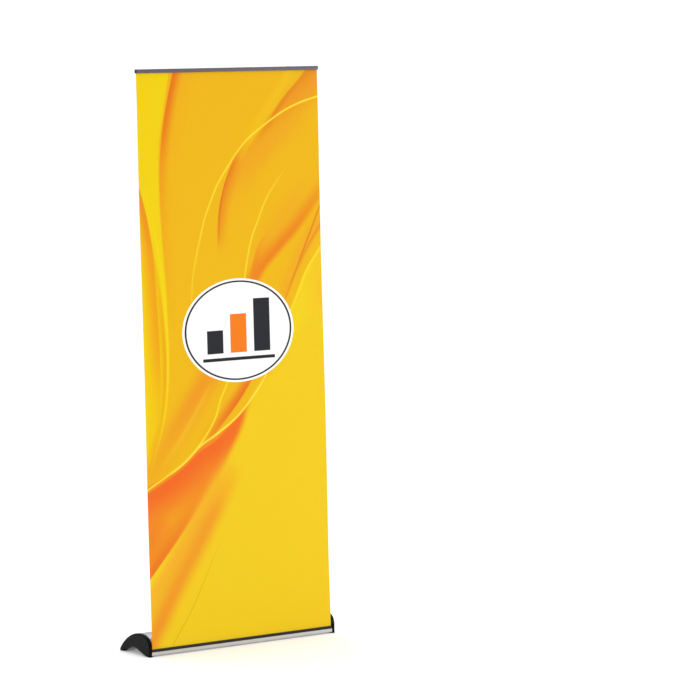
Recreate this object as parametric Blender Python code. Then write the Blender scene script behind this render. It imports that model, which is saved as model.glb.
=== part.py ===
"""Roll-up banner stand: a printed sheet on a spring roller in a wave-shaped base, held up by a pole.

The model is in metres with +Z up. The origin is on the floor, under the middle of the base, and the
printed side faces -Y. Inside the base a sprung roller turns about X. The print leaves it through the
front slot and leans back to a slim top rail, which a three-section telescopic pole carries.
"""
import math

import bmesh
import bpy
from mathutils import Matrix, Vector

MM = 0.001

# ---------------------------------------------------------------- driving dimensions
GAP = 0.3 * MM                      # left between pieces that touch
RUNNING_GAP = 0.4 * MM              # round a piece that slides or turns

GRAPHIC_WIDTH = 800 * MM
STAND_HEIGHT = 2090 * MM
GRAPHIC_THICKNESS = 0.5 * MM
GRAPHIC_LEAN = 83 * MM              # how far the top of the print stands behind its bottom

BASE_DEPTH = 190 * MM
BASE_HEIGHT = 78 * MM
SHOULDER_HEIGHT = 30 * MM           # top of the upright front face of the end caps
CREST_BACK = 66 * MM                # highest point of the base, behind its front
TOE_HEIGHT = 7 * MM
TOE_UNDERSIDE = 2.6 * MM            # lowest part of the casing, above the floor
ARCH_HEIGHT = 19.5 * MM             # hollow under the base
ARCH_BACK = 106 * MM
FRONT_FOOT_DEPTH = 16 * MM
REAR_FOOT_DEPTH = 26 * MM
REAR_FOOT_LENGTH = 32 * MM          # of the rubber strip, along the base

CAP_THICKNESS = 12 * MM
CAP_SIDE_GAP = 4 * MM               # from the edge of the print to the end cap
CAP_PROUD = 1.2 * MM                # end cap outline outside the casing
CAP_EDGE_RADIUS = 5 * MM            # rounding of the outer edge, upper side
CAP_FOOT_RADIUS = 3 * MM            # the same at the front foot
CAP_ARCH_RADIUS = 11 * MM           # the same along the arch
SPIGOT_HALF = 6 * MM                # block inside a cap that takes a screw, half its width
SPIGOT_REACH = 12 * MM              # how far it stands into the casing
SPIGOT_HEIGHTS = (5 * MM, 15 * MM)  # in front of the roller and behind the pole
REAR_SCREW_SETBACK = 11 * MM        # from the rear web to the rear screw

CASING_WALL = 1.8 * MM
CASING_LIFT = 2.5 * MM              # underside of the casing above the arch of the caps
LIP_BOTTOM = 5 * MM
LIP_TOP = 17 * MM
LIP_FRONT = 1.2 * MM
LIP_THICKNESS = 3.2 * MM
SEAL_HEIGHT = 10.2 * MM
SEAL_TONGUE_DEPTH = 3 * MM
SEAL_TONGUE_WIDTH = 1.2 * MM
SLOT_LIP_BACK = 7 * MM
SLOT_LIP_BOTTOM = 31.6 * MM
BEAD_RADIUS = 1.2 * MM

ROLLER_BACK = 49 * MM
ROLLER_HEIGHT = 38.5 * MM
ROLLER_RADIUS = 15 * MM
ROLLER_WALL = 1.5 * MM
WRAP_THICKNESS = 1.2 * MM           # turns of print that stay on the roller
FULL_ROLL_RADIUS = 21.2 * MM        # roller with the whole print wound on
PLUG_DEPTH = 20 * MM
PLUG_FLANGE = 1.1 * MM
BUSH_WALL = 2.8 * MM
BUSH_DEPTH = 7 * MM                 # of the idler's bush in the left cap
SPINDLE_RADIUS = 4 * MM
SPINDLE_LENGTH = 310 * MM
SPINDLE_INSET = 5 * MM              # its end, inside the face of the right cap
SPRING_RADIUS = 8 * MM
SPRING_WIRE = 0.9 * MM
SPRING_TURNS = 22
ADJUSTER_RADIUS = 13.5 * MM
ADJUSTER_DISC = 2.4 * MM
ADJUSTER_SHAFT = 8 * MM
SCREW_SLOT = (16 * MM, 2.4 * MM, 1.4 * MM)
SCREW_SLOT_TILT = math.radians(-8)

LOWER_RADIUS = 11 * MM
POLE_WALL = 1.2 * MM
POLE_OVERLAP = 50 * MM              # of one tube in the next, pulled out
SOCKET_WALL = 2.6 * MM
SOCKET_FLANGE = 23 * MM
SOCKET_FLANGE_THICKNESS = 3 * MM
COLLAR_WALL = 4 * MM                # around the widest tube
COLLAR_RADIUS = LOWER_RADIUS + COLLAR_WALL
COLLAR_GRIP = 25 * MM               # collar length on each side of the tube's end
COLLAR_RIBS = 12
LOCK_BUSH_WALL = 2 * MM
LOCK_BUSH_LENGTH = 16 * MM
PLUG_RIM = 2.2 * MM
PLUG_BODY = 14 * MM
TIP_RADIUS = 5 * MM
TIP_LENGTH = 12 * MM
TIP_SHOULDER = 6 * MM               # collar between the upper tube and its tip
TIP_SOCKET_WALL = 2.4 * MM

RAIL_HEIGHT = 14 * MM
RAIL_DEPTH = 10 * MM
RAIL_MOUTH = 1.8 * MM
RAIL_CHAMBER = (5.2 * MM, 4.4 * MM)
RAIL_CHAMBER_RISE = 4 * MM
RAIL_HOOK = 1.4 * MM                # the chamber stops this much short at the back
RAIL_GROOVE = (6 * MM, 2.8 * MM)
RAIL_CAP = 2 * MM
RAIL_CORNER = 1.5 * MM
BRACKET_HALF = 24 * MM
BRACKET_PLATE = 3 * MM
BRACKET_DROP = 8 * MM               # boss under the rail
PLATE_INSET = 0.7 * MM

SCREW_RADIUS = 1.5 * MM
SCREW_HEAD = (3.0 * MM, 2.2 * MM)
SCREW_HOLE_GAP = 0.3 * MM

# ---------------------------------------------------------------- places worked out from them
HALF_PRINT = GRAPHIC_WIDTH / 2
CAP_INNER = HALF_PRINT + CAP_SIDE_GAP
CAP_OUTER = CAP_INNER + CAP_THICKNESS
FRONT = -BASE_DEPTH / 2
SEAL_TOP = LIP_TOP + GAP + SEAL_HEIGHT
PRINT_BACK = LIP_FRONT + LIP_THICKNESS + GRAPHIC_THICKNESS / 2 + 2 * GAP
PRINT_BOTTOM = SEAL_TOP - 3.5 * MM
RAIL_BACK = PRINT_BACK + GRAPHIC_LEAN
RAIL_BOTTOM = STAND_HEIGHT - RAIL_HEIGHT
MIDDLE_RADIUS = LOWER_RADIUS - POLE_WALL - GAP
UPPER_RADIUS = MIDDLE_RADIUS - POLE_WALL - RUNNING_GAP
POLE_BACK = RAIL_BACK + RAIL_DEPTH / 2 + UPPER_RADIUS + 2 * MM
WEB_BACK = ROLLER_BACK + FULL_ROLL_RADIUS + 5 * MM
REAR_WEB_BACK = POLE_BACK + LOWER_RADIUS + SOCKET_WALL + 14 * MM
NOSE_DEPTH = 16 * MM
REAR_CHAMBER_FRONT = REAR_WEB_BACK + CASING_WALL
REAR_CHAMBER_HALF = (BASE_DEPTH - NOSE_DEPTH - REAR_CHAMBER_FRONT) / 2
TUBE_END = HALF_PRINT + 0.5 * MM
ROLLER_AXIS = Vector((0, FRONT + ROLLER_BACK, ROLLER_HEIGHT))
POLE_AXIS = Vector((0, FRONT + POLE_BACK, 0))

FINISHES = {
    "silver": ((0.72, 0.73, 0.74), 0.32, 1.0),
    "graphite": ((0.16, 0.15, 0.17), 0.38, 1.0),
    "gloss_black": ((0.018, 0.018, 0.017), 0.12, 0.0),
    "satin_black": ((0.03, 0.03, 0.03), 0.45, 0.0),
    "rubber": ((0.09, 0.09, 0.09), 0.8, 0.0),
    "steel": ((0.6, 0.6, 0.6), 0.3, 1.0),
    "print": ((0.91, 0.56, 0.02), 0.42, 0.0),
    "white": ((0.8, 0.8, 0.78), 0.5, 0.0),
}


# ---------------------------------------------------------------- making and joining meshes
def clear_scene():
    for item in list(bpy.data.objects):
        bpy.data.objects.remove(item, do_unlink=True)


def finish_material(name, finish):
    colour, roughness, metallic = FINISHES[finish]
    material = bpy.data.materials.new(name + "_" + finish)
    material.use_nodes = True
    shader = material.node_tree.nodes["Principled BSDF"]
    shader.inputs["Base Color"].default_value = (*colour, 1)
    shader.inputs["Roughness"].default_value = roughness
    shader.inputs["Metallic"].default_value = metallic
    return material


def group(name, location=(0, 0, 0)):
    """An empty on a joint's axis, which carries the pieces that move together."""
    empty = bpy.data.objects.new(name, None)
    empty.location = location
    bpy.context.scene.collection.objects.link(empty)
    return empty


def piece(name, shape, finish, parent):
    """One named solid from a bmesh, in its parent's frame."""
    mesh = bpy.data.meshes.new(name)
    bmesh.ops.recalc_face_normals(shape, faces=shape.faces)
    shape.to_mesh(mesh)
    shape.free()
    mesh.shade_smooth()
    mesh.set_sharp_from_angle(angle=math.radians(35))
    obj = bpy.data.objects.new(name, mesh)
    mesh.materials.append(finish_material(name, finish))
    bpy.context.scene.collection.objects.link(obj)
    obj.parent = parent
    return obj


def shape_tool(target, shape, operation):
    """Cut a hidden shape from a piece, or join it on, in the piece's own frame."""
    label = target.name + "_tool_" + str(len(target.modifiers))
    mesh = bpy.data.meshes.new(label)
    bmesh.ops.recalc_face_normals(shape, faces=shape.faces)
    shape.to_mesh(mesh)
    shape.free()
    tool = bpy.data.objects.new(label, mesh)
    tool.hide_render = True
    tool.display_type = "WIRE"
    bpy.context.scene.collection.objects.link(tool)
    tool.parent = target.parent
    modifier = target.modifiers.new(label, "BOOLEAN")
    modifier.operation = operation
    modifier.solver = "EXACT"
    modifier.object = tool


def cut(target, shape):
    shape_tool(target, shape, "DIFFERENCE")


def join(target, shape):
    shape_tool(target, shape, "UNION")


def loft(rings):
    """Closed solid through rings of equally many points, flat at both ends."""
    bm = bmesh.new()
    loops = [[bm.verts.new(point) for point in ring] for ring in rings]
    count = len(loops[0])
    for near, far in zip(loops, loops[1:]):
        for i in range(count):
            j = (i + 1) % count
            bm.faces.new((near[i], near[j], far[j], far[i]))
    bm.faces.new(loops[0])
    bm.faces.new(list(reversed(loops[-1])))
    return bm


def prism(outline, x_from, x_to):
    """Outline of (distance behind the front, height) points, run along X."""
    return loft([[(x, FRONT + back, height) for back, height in outline] for x in (x_from, x_to)])


def block(low, high):
    corners = [(low[1], low[2]), (high[1], low[2]), (high[1], high[2]), (low[1], high[2])]
    return loft([[(x, y, z) for y, z in corners] for x in (low[0], high[0])])


def turned(profile, axis="X", sides=32):
    """Solid of revolution from a closed profile of (radius, place along the axis) points."""
    bm = bmesh.new()
    rings = []
    for radius, along in profile:
        if radius < 1e-9:
            rings.append([bm.verts.new((along, 0, 0))])
            continue
        ring = []
        for k in range(sides):
            angle = 2 * math.pi * k / sides
            ring.append(bm.verts.new((along, radius * math.cos(angle), radius * math.sin(angle))))
        rings.append(ring)
    for near, far in zip(rings, rings[1:] + rings[:1]):
        for k in range(sides):
            j = (k + 1) % sides
            corners = []
            for vert in (near[k % len(near)], near[j % len(near)], far[j % len(far)], far[k % len(far)]):
                if vert not in corners:
                    corners.append(vert)
            if len(corners) > 2:
                bm.faces.new(corners)
    if axis == "Z":
        bmesh.ops.transform(bm, matrix=Matrix.Rotation(-math.pi / 2, 4, "Y"), verts=bm.verts)
    if axis == "Y":
        bmesh.ops.transform(bm, matrix=Matrix.Rotation(math.pi / 2, 4, "Z"), verts=bm.verts)
    return bm


def rod(radius, start, end, axis="X", sides=32):
    return turned([(0, start), (radius, start), (radius, end), (0, end)], axis, sides)


def tube(outer, inner, start, end, axis="X", sides=32):
    return turned([(inner, start), (outer, start), (outer, end), (inner, end)], axis, sides)


def moved(bm, offset):
    bmesh.ops.translate(bm, vec=Vector(offset), verts=bm.verts)
    return bm


def placed(bm, matrix):
    bmesh.ops.transform(bm, matrix=matrix, verts=bm.verts)
    return bm


# ---------------------------------------------------------------- the base's outlines
def bezier(start, lead, follow, end, steps):
    """Points along one cubic curve, without its last point."""
    points = []
    for i in range(steps):
        t = i / steps
        weights = ((1 - t) ** 3, 3 * t * (1 - t) ** 2, 3 * t * t * (1 - t), t ** 3)
        corners = (start, lead, follow, end)
        points.append(tuple(sum(w * c[k] for w, c in zip(weights, corners)) for k in (0, 1)))
    return points


def back_curve(steps):
    """Top of the base from its crest down to the toe."""
    crest = (CREST_BACK, BASE_HEIGHT)
    toe = (BASE_DEPTH, TOE_HEIGHT)
    run = BASE_DEPTH - CREST_BACK
    rise = BASE_HEIGHT - TOE_HEIGHT
    lead = (CREST_BACK + 0.40 * run, BASE_HEIGHT)
    follow = (BASE_DEPTH - 0.19 * run, TOE_HEIGHT + 0.52 * rise)
    return bezier(crest, lead, follow, toe, steps) + [toe]


def arch_curve(steps):
    """Underside of the end caps, from the rear foot forward to the front foot."""
    rear = (BASE_DEPTH - REAR_FOOT_DEPTH, 0.4 * MM)
    crown = (ARCH_BACK, ARCH_HEIGHT)
    front = (FRONT_FOOT_DEPTH, 0.4 * MM)
    rear_run = rear[0] - ARCH_BACK
    front_run = ARCH_BACK - FRONT_FOOT_DEPTH
    rear_half = bezier(rear, (rear[0] - 0.24 * rear_run, 0.46 * ARCH_HEIGHT),
                       (ARCH_BACK + 0.41 * rear_run, ARCH_HEIGHT), crown, steps)
    front_half = bezier(crown, (ARCH_BACK - 0.29 * front_run, ARCH_HEIGHT),
                        (FRONT_FOOT_DEPTH + 0.38 * front_run, 0.26 * ARCH_HEIGHT), front, steps)
    return rear_half + front_half + [front]


def cap_outline():
    """Closed outline of an end cap, from the floor up the front, over the top and back below."""
    shoulder = (0, SHOULDER_HEIGHT)
    rise = BASE_HEIGHT - SHOULDER_HEIGHT
    front = bezier(shoulder, (0, SHOULDER_HEIGHT + 0.66 * rise), (CREST_BACK / 3, BASE_HEIGHT),
                   (CREST_BACK, BASE_HEIGHT), 8)
    toe = [(BASE_DEPTH - 0.8 * MM, 0.3 * TOE_HEIGHT), (BASE_DEPTH - 5 * MM, 0)]
    arch = arch_curve(6)
    foot = [(FRONT_FOOT_DEPTH - 2 * MM, 0), (2 * MM, 0), (0, 2 * MM), (0, SHOULDER_HEIGHT / 2)]
    return front + back_curve(9) + toe + [(arch[0][0] + 2 * MM, 0)] + arch + foot


def offset_inward(points, distance):
    """Move each point of an open clockwise run of points to the inside of the curve."""
    result = []
    for i, point in enumerate(points):
        before = points[max(i - 1, 0)]
        after = points[min(i + 1, len(points) - 1)]
        along = Vector((after[0] - before[0], after[1] - before[1])).normalized()
        result.append((point[0] + along.y * distance, point[1] - along.x * distance))
    return result


def height_at(points, back):
    """Height of a run of points at one distance behind the front."""
    for near, far in zip(points, points[1:]):
        low, high = sorted((near[0], far[0]))
        if low <= back <= high and high > low:
            share = (back - near[0]) / (far[0] - near[0])
            return near[1] + share * (far[1] - near[1])
    return points[-1][1]


def between(points, low, high):
    """The part of a run of points between two distances behind the front, ends included."""
    inner = [p for p in points if low < p[0] < high]
    first, last = (low, high) if points[0][0] < points[-1][0] else (high, low)
    return [(first, height_at(points, first))] + inner + [(last, height_at(points, last))]


def casing_top(depth):
    """Upper skin of the casing, this deep inside its outer face, from the front slot to the toe."""
    crest = BASE_HEIGHT - CAP_PROUD
    lead = (SLOT_LIP_BACK, SLOT_LIP_BOTTOM + 0.58 * (crest - SLOT_LIP_BOTTOM))
    follow = (SLOT_LIP_BACK + 0.32 * (CREST_BACK - SLOT_LIP_BACK), crest)
    front = bezier((SLOT_LIP_BACK, SLOT_LIP_BOTTOM), lead, follow, (CREST_BACK, crest), 8)
    rear = offset_inward(back_curve(9), CAP_PROUD)
    return offset_inward(front + rear, depth)


def casing_floor(depth):
    """Lower skin of the casing, this high above its underside, from the toe to the front lip."""
    arch = [(back, max(height + CASING_LIFT, TOE_UNDERSIDE)) for back, height in arch_curve(7)]
    flat = [(back, max(height, LIP_BOTTOM)) if back < ARCH_BACK else (back, height) for back, height in arch]
    toe = [(BASE_DEPTH - 5 * MM, TOE_UNDERSIDE)]
    front = [(LIP_FRONT, LIP_BOTTOM)]
    return [(back, height + depth) for back, height in toe + flat + front]


def casing_outline():
    """Casing section in one run: the roller chamber is open to the front through the slot."""
    lip_back = LIP_FRONT + LIP_THICKNESS
    tongue_front = (LIP_FRONT + lip_back - SEAL_TONGUE_WIDTH) / 2
    tongue_back = tongue_front + SEAL_TONGUE_WIDTH
    groove = LIP_TOP - SEAL_TONGUE_DEPTH
    lip = [(LIP_FRONT, LIP_BOTTOM), (LIP_FRONT, LIP_TOP), (tongue_front, LIP_TOP), (tongue_front, groove),
           (tongue_back, groove), (tongue_back, LIP_TOP), (lip_back, LIP_TOP)]
    chamber_floor = list(reversed(between(casing_floor(CASING_WALL), lip_back, WEB_BACK)))
    skin = casing_top(CASING_WALL)
    chamber_roof = list(reversed(between(skin, skin[0][0] + 0.01 * MM, WEB_BACK)))
    slot_edge = [(chamber_roof[-1][0], SLOT_LIP_BOTTOM)]
    outside = casing_top(0)
    underside = casing_floor(0)[:-1]
    nose = [(outside[-1][0] - 0.5 * MM, 3.4 * MM)]
    return lip + chamber_floor + chamber_roof[:-1] + slot_edge + outside + nose + underside


def cavity_outline(low, high):
    floor = between(casing_floor(CASING_WALL), low, high)
    roof = between(casing_top(CASING_WALL), low, high)
    return roof + floor


# ---------------------------------------------------------------- base
def socket_tilt():
    """Slope of the casing where the pole stands, and the height of its skin there."""
    skin = casing_top(0)
    reach = SOCKET_FLANGE / 2
    before = height_at(skin, POLE_BACK - reach)
    after = height_at(skin, POLE_BACK + reach)
    return math.atan2(after - before, 2 * reach), height_at(skin, POLE_BACK)


def on_slope(height_above):
    """Frame on the casing's slope under the pole, with its Z out of the skin."""
    slope, skin_height = socket_tilt()
    place = Matrix.Translation(Vector((0, POLE_AXIS.y, skin_height)))
    return place @ Matrix.Rotation(slope, 4, "X") @ Matrix.Translation(Vector((0, 0, height_above)))


def socket_screw_place():
    return LOWER_RADIUS + SOCKET_WALL + SCREW_HEAD[0] + 1.8 * MM


def make_casing(base):
    casing = piece("base_casing", prism(casing_outline(), -CAP_INNER + GAP, CAP_INNER - GAP), "silver", base)
    past = CAP_INNER + 5 * MM
    cut(casing, prism(cavity_outline(WEB_BACK + CASING_WALL, REAR_WEB_BACK), -past, past))
    cut(casing, prism(cavity_outline(REAR_CHAMBER_FRONT, BASE_DEPTH - NOSE_DEPTH), -past, past))
    hole = LOWER_RADIUS + RUNNING_GAP + SOCKET_WALL + GAP
    cut(casing, moved(rod(hole, BASE_HEIGHT / 2, BASE_HEIGHT + 20 * MM, "Z"), POLE_AXIS))
    for side in (-1, 1):
        shank = rod(SCREW_RADIUS + SCREW_HOLE_GAP, -6 * MM, 6 * MM, "Z", 12)
        moved(shank, (side * socket_screw_place(), 0, 0))
        cut(casing, placed(shank, on_slope(0)))
        for back in cap_screw_backs():
            screw = rod(SCREW_RADIUS + SCREW_HOLE_GAP, 0, cap_screw_seat(back) + 8 * MM, "Z", 12)
            cut(casing, moved(screw, (side * cap_screw_x(), FRONT + back, 0)))


def make_slot_parts(base):
    lip_back = LIP_FRONT + LIP_THICKNESS
    front = LIP_FRONT + GAP
    back = lip_back - GAP
    tongue_front = (LIP_FRONT + lip_back - SEAL_TONGUE_WIDTH) / 2 + GAP
    tongue_back = tongue_front + SEAL_TONGUE_WIDTH - 2 * GAP
    foot = LIP_TOP + GAP
    root = LIP_TOP - SEAL_TONGUE_DEPTH + GAP
    outline = [(front, foot), (tongue_front, foot), (tongue_front, root), (tongue_back, root),
               (tongue_back, foot), (back, foot), (back, SEAL_TOP - 1 * MM), (back - 0.8 * MM, SEAL_TOP),
               (front + 0.8 * MM, SEAL_TOP), (front, SEAL_TOP - 0.8 * MM)]
    piece("slot_seal", prism(outline, -CAP_INNER + GAP, CAP_INNER - GAP), "rubber", base)
    bead = rod(BEAD_RADIUS, -CAP_INNER + GAP, CAP_INNER - GAP, "X", 10)
    height = SLOT_LIP_BOTTOM - GAP - BEAD_RADIUS
    piece("slot_bead", moved(bead, (0, FRONT + SLOT_LIP_BACK + BEAD_RADIUS, height)), "satin_black", base)


def cap_roll(back):
    """Radius of a cap's outer edge along its underside: small at the foot, large under the arch."""
    share = min(max((back - 30 * MM) / (60 * MM), 0), 1)
    share = share * share * (3 - 2 * share)
    toe = min(max((BASE_DEPTH - 6 * MM - back) / (18 * MM), 0), 1)
    return CAP_FOOT_RADIUS + (CAP_ARCH_RADIUS - CAP_FOOT_RADIUS) * share * toe


def cap_rings(side):
    """Rings of an end cap: straight from the casing, then rolled over towards its outer face."""
    outline = cap_outline()
    count = len(outline)
    rings = [[(side * CAP_INNER, FRONT + back, height) for back, height in outline]]
    for step in range(5):
        angle = math.pi / 2 * step / 4
        ring = []
        for i, (back, height) in enumerate(outline):
            before = outline[i - 1]
            after = outline[(i + 1) % count]
            along = Vector((after[0] - before[0], after[1] - before[1])).normalized()
            under = height < ARCH_HEIGHT + 0.1 * MM and 1 * MM < back < BASE_DEPTH - 2 * MM
            radius = cap_roll(back) if under else CAP_EDGE_RADIUS
            inset = radius * (1 - math.cos(angle))
            x = CAP_OUTER - radius * (1 - math.sin(angle))
            ring.append((side * x, FRONT + back + along.y * inset, height - along.x * inset))
        rings.append(ring)
    return rings


def cap_screw_backs():
    """The front screw stands behind the lip, the rear one in the chamber behind the pole."""
    return FRONT_FOOT_DEPTH + 5 * MM, REAR_CHAMBER_FRONT + min(REAR_SCREW_SETBACK, REAR_CHAMBER_HALF)


def cap_screw_x():
    return CAP_INNER - 6 * MM


def cap_screw_seat(back):
    """Lowest height of the casing's underside over a screw's head."""
    floor = casing_floor(0)
    reach = SCREW_HEAD[0]
    return min(height_at(floor, back - reach), height_at(floor, back), height_at(floor, back + reach))


def spigot_box(back, side):
    """Block on the inside of a cap that takes one screw from below."""
    half = min(SPIGOT_HALF, REAR_CHAMBER_HALF - GAP)
    floor = casing_floor(CASING_WALL)
    low = max(height_at(floor, back - half), height_at(floor, back + half)) + 2 * GAP
    inner = CAP_INNER - SPIGOT_REACH
    xs = sorted((side * inner, side * (CAP_INNER + 2 * MM)))
    high = low + SPIGOT_HEIGHTS[0 if back < ROLLER_BACK else 1]
    return (xs[0], FRONT + back - half, low), (xs[1], FRONT + back + half, high)


def make_cap(base, side, label):
    cap = piece("end_cap_" + label, loft(cap_rings(side)), "gloss_black", base)
    for back in cap_screw_backs():
        low, high = spigot_box(back, side)
        join(cap, block(low, high))
        pilot = rod(SCREW_RADIUS + SCREW_HOLE_GAP, low[2] - 1 * MM, high[2] - 1 * MM, "Z", 12)
        cut(cap, moved(pilot, (side * cap_screw_x(), FRONT + back, 0)))
    return cap


def make_cap_bores(cap_left, cap_right):
    """Blind hole for the idler's bush on the left, stepped hole for the adjuster on the right."""
    bush = rod(SPINDLE_RADIUS + BUSH_WALL, -CAP_INNER - BUSH_DEPTH - 1 * MM, -CAP_INNER + 1 * MM, "X", 24)
    cut(cap_left, moved(bush, ROLLER_AXIS))
    step = CAP_OUTER - ADJUSTER_DISC - 2 * GAP
    bore = turned([(0, CAP_INNER - 1 * MM), (ADJUSTER_SHAFT + GAP, CAP_INNER - 1 * MM),
                   (ADJUSTER_SHAFT + GAP, step), (ADJUSTER_RADIUS + GAP, step),
                   (ADJUSTER_RADIUS + GAP, CAP_OUTER + 1 * MM), (0, CAP_OUTER + 1 * MM)])
    cut(cap_right, moved(bore, ROLLER_AXIS))


def screw_shape(length, sides=16):
    """Pan-head screw pointing up, with its head's seat at zero."""
    radius, height = SCREW_HEAD
    shank = [(0, length), (SCREW_RADIUS * 0.4, length), (SCREW_RADIUS, length - 1.5 * MM), (SCREW_RADIUS, 0)]
    profile = shank + [(radius, 0), (radius, -0.55 * height), (0.62 * radius, -height), (0, -height)]
    return turned(profile, "Z", sides)


def make_cap_screws(base, side, label):
    for place, back in zip(("front", "rear"), cap_screw_backs()):
        low, high = spigot_box(back, side)
        seat = cap_screw_seat(back) - GAP
        screw = moved(screw_shape(high[2] - 1.6 * MM - seat), (side * cap_screw_x(), FRONT + back, seat))
        piece("cap_screw_" + label + "_" + place, screw, "steel", base)


def make_feet(base, side, label):
    inner = side * (CAP_INNER - 7 * MM)
    outer = side * (CAP_INNER - GAP)
    xs = sorted((inner, outer))
    front = block((xs[0], FRONT + LIP_FRONT + 0.8 * MM, 0),
                  (xs[1], FRONT + FRONT_FOOT_DEPTH - 2 * MM, LIP_BOTTOM - GAP))
    piece("front_foot_" + label, front, "rubber", base)
    # Inboard of the rear screw's head.
    outer = cap_screw_x() - SCREW_HEAD[0] - GAP
    xs = sorted((side * (outer - REAR_FOOT_LENGTH), side * outer))
    rear = block((xs[0], FRONT + BASE_DEPTH - REAR_FOOT_DEPTH + 4 * MM, 0),
                 (xs[1], FRONT + BASE_DEPTH - 7 * MM, TOE_UNDERSIDE - GAP))
    piece("rear_foot_" + label, rear, "rubber", base)


def socket_floor():
    floor = casing_floor(CASING_WALL)
    reach = LOWER_RADIUS + SOCKET_WALL
    backs = (POLE_BACK - reach, POLE_BACK, POLE_BACK + reach, ARCH_BACK)
    return max(height_at(floor, back) for back in backs) + 2 * GAP


def make_socket(base):
    """Moulded cup that the pole stands in, with a flange screwed to the casing's slope."""
    bore = LOWER_RADIUS + RUNNING_GAP
    bottom = socket_floor()
    slope, skin_height = socket_tilt()
    top = skin_height + 9 * MM
    cup = moved(rod(bore + SOCKET_WALL, bottom, top, "Z"), POLE_AXIS)
    socket = piece("pole_socket", cup, "satin_black", base)
    join(socket, placed(rod(SOCKET_FLANGE, 0, SOCKET_FLANGE_THICKNESS, "Z"), on_slope(GAP)))
    cut(socket, moved(rod(bore, bottom + SOCKET_WALL, top + 20 * MM, "Z"), POLE_AXIS))
    for side, label in ((-1, "left"), (1, "right")):
        x = side * socket_screw_place()
        hole = rod(SCREW_RADIUS + SCREW_HOLE_GAP, -2 * MM, 8 * MM, "Z", 12)
        cut(socket, placed(moved(hole, (x, 0, 0)), on_slope(GAP)))
        screw = placed(screw_shape(8 * MM), Matrix.Rotation(math.pi, 4, "X"))
        seat = SOCKET_FLANGE_THICKNESS + 2 * GAP
        screw = placed(moved(screw, (x, 0, 0)), on_slope(seat))
        piece("socket_screw_" + label, screw, "steel", base)


# ---------------------------------------------------------------- roller and its spring
def make_bush(base):
    """Flanged bush in the left cap that the idler's pin turns in."""
    bore = SPINDLE_RADIUS + GAP
    body = SPINDLE_RADIUS + BUSH_WALL - GAP
    flange_in = -CAP_INNER + GAP
    flange_out = flange_in + 1 * MM
    profile = [(bore, -CAP_INNER - BUSH_DEPTH), (body, -CAP_INNER - BUSH_DEPTH), (body, flange_in),
               (body + 2.2 * MM, flange_in), (body + 2.2 * MM, flange_out), (bore, flange_out)]
    piece("idler_bush", moved(turned(profile), ROLLER_AXIS), "white", base)


def make_roller(roller):
    bore = ROLLER_RADIUS - ROLLER_WALL
    piece("roller_tube", tube(ROLLER_RADIUS, bore, -TUBE_END, TUBE_END), "steel", roller)
    wrap = tube(ROLLER_RADIUS + GAP + WRAP_THICKNESS, ROLLER_RADIUS + GAP, -HALF_PRINT, HALF_PRINT, sides=40)
    piece("print_on_roller", wrap, "print", roller)
    plug = bore - GAP
    near = TUBE_END - PLUG_DEPTH
    seat = TUBE_END + GAP
    face = seat + PLUG_FLANGE
    pin_end = -CAP_INNER - BUSH_DEPTH + 0.5 * MM
    idler = [(0, -near), (plug, -near), (plug, -seat), (ROLLER_RADIUS - GAP, -seat),
             (ROLLER_RADIUS - GAP, -face), (SPINDLE_RADIUS, -face), (SPINDLE_RADIUS, pin_end), (0, pin_end)]
    piece("idler_plug", turned(idler), "satin_black", roller)
    hole = SPINDLE_RADIUS + GAP
    drive = [(hole, near - 6 * MM), (SPRING_RADIUS, near - 6 * MM), (SPRING_RADIUS, near), (plug, near),
             (plug, seat), (ROLLER_RADIUS - GAP, seat), (ROLLER_RADIUS - GAP, face), (hole, face)]
    piece("drive_plug", turned(drive), "satin_black", roller)
    far = spindle_end() + 2 * MM
    piece("spindle_guide", tube(plug, hole, far, far + 9 * MM), "white", roller)


def spindle_end():
    return CAP_OUTER - SPINDLE_INSET - SPINDLE_LENGTH


def helix(radius, wire, start, end, turns, around=5, per_turn=10):
    """Closed round-wire coil along X with flat ends."""
    steps = turns * per_turn
    rings = []
    for i in range(steps + 1):
        angle = 2 * math.pi * i / per_turn
        outward = Vector((0, math.cos(angle), math.sin(angle)))
        centre = Vector((start + (end - start) * i / steps, 0, 0)) + outward * radius
        ring = []
        for k in range(around):
            turn = 2 * math.pi * k / around
            offset = outward * math.cos(turn) + Vector((1, 0, 0)) * math.sin(turn)
            ring.append(centre + offset * wire)
        rings.append(ring)
    return loft(rings)


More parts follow.
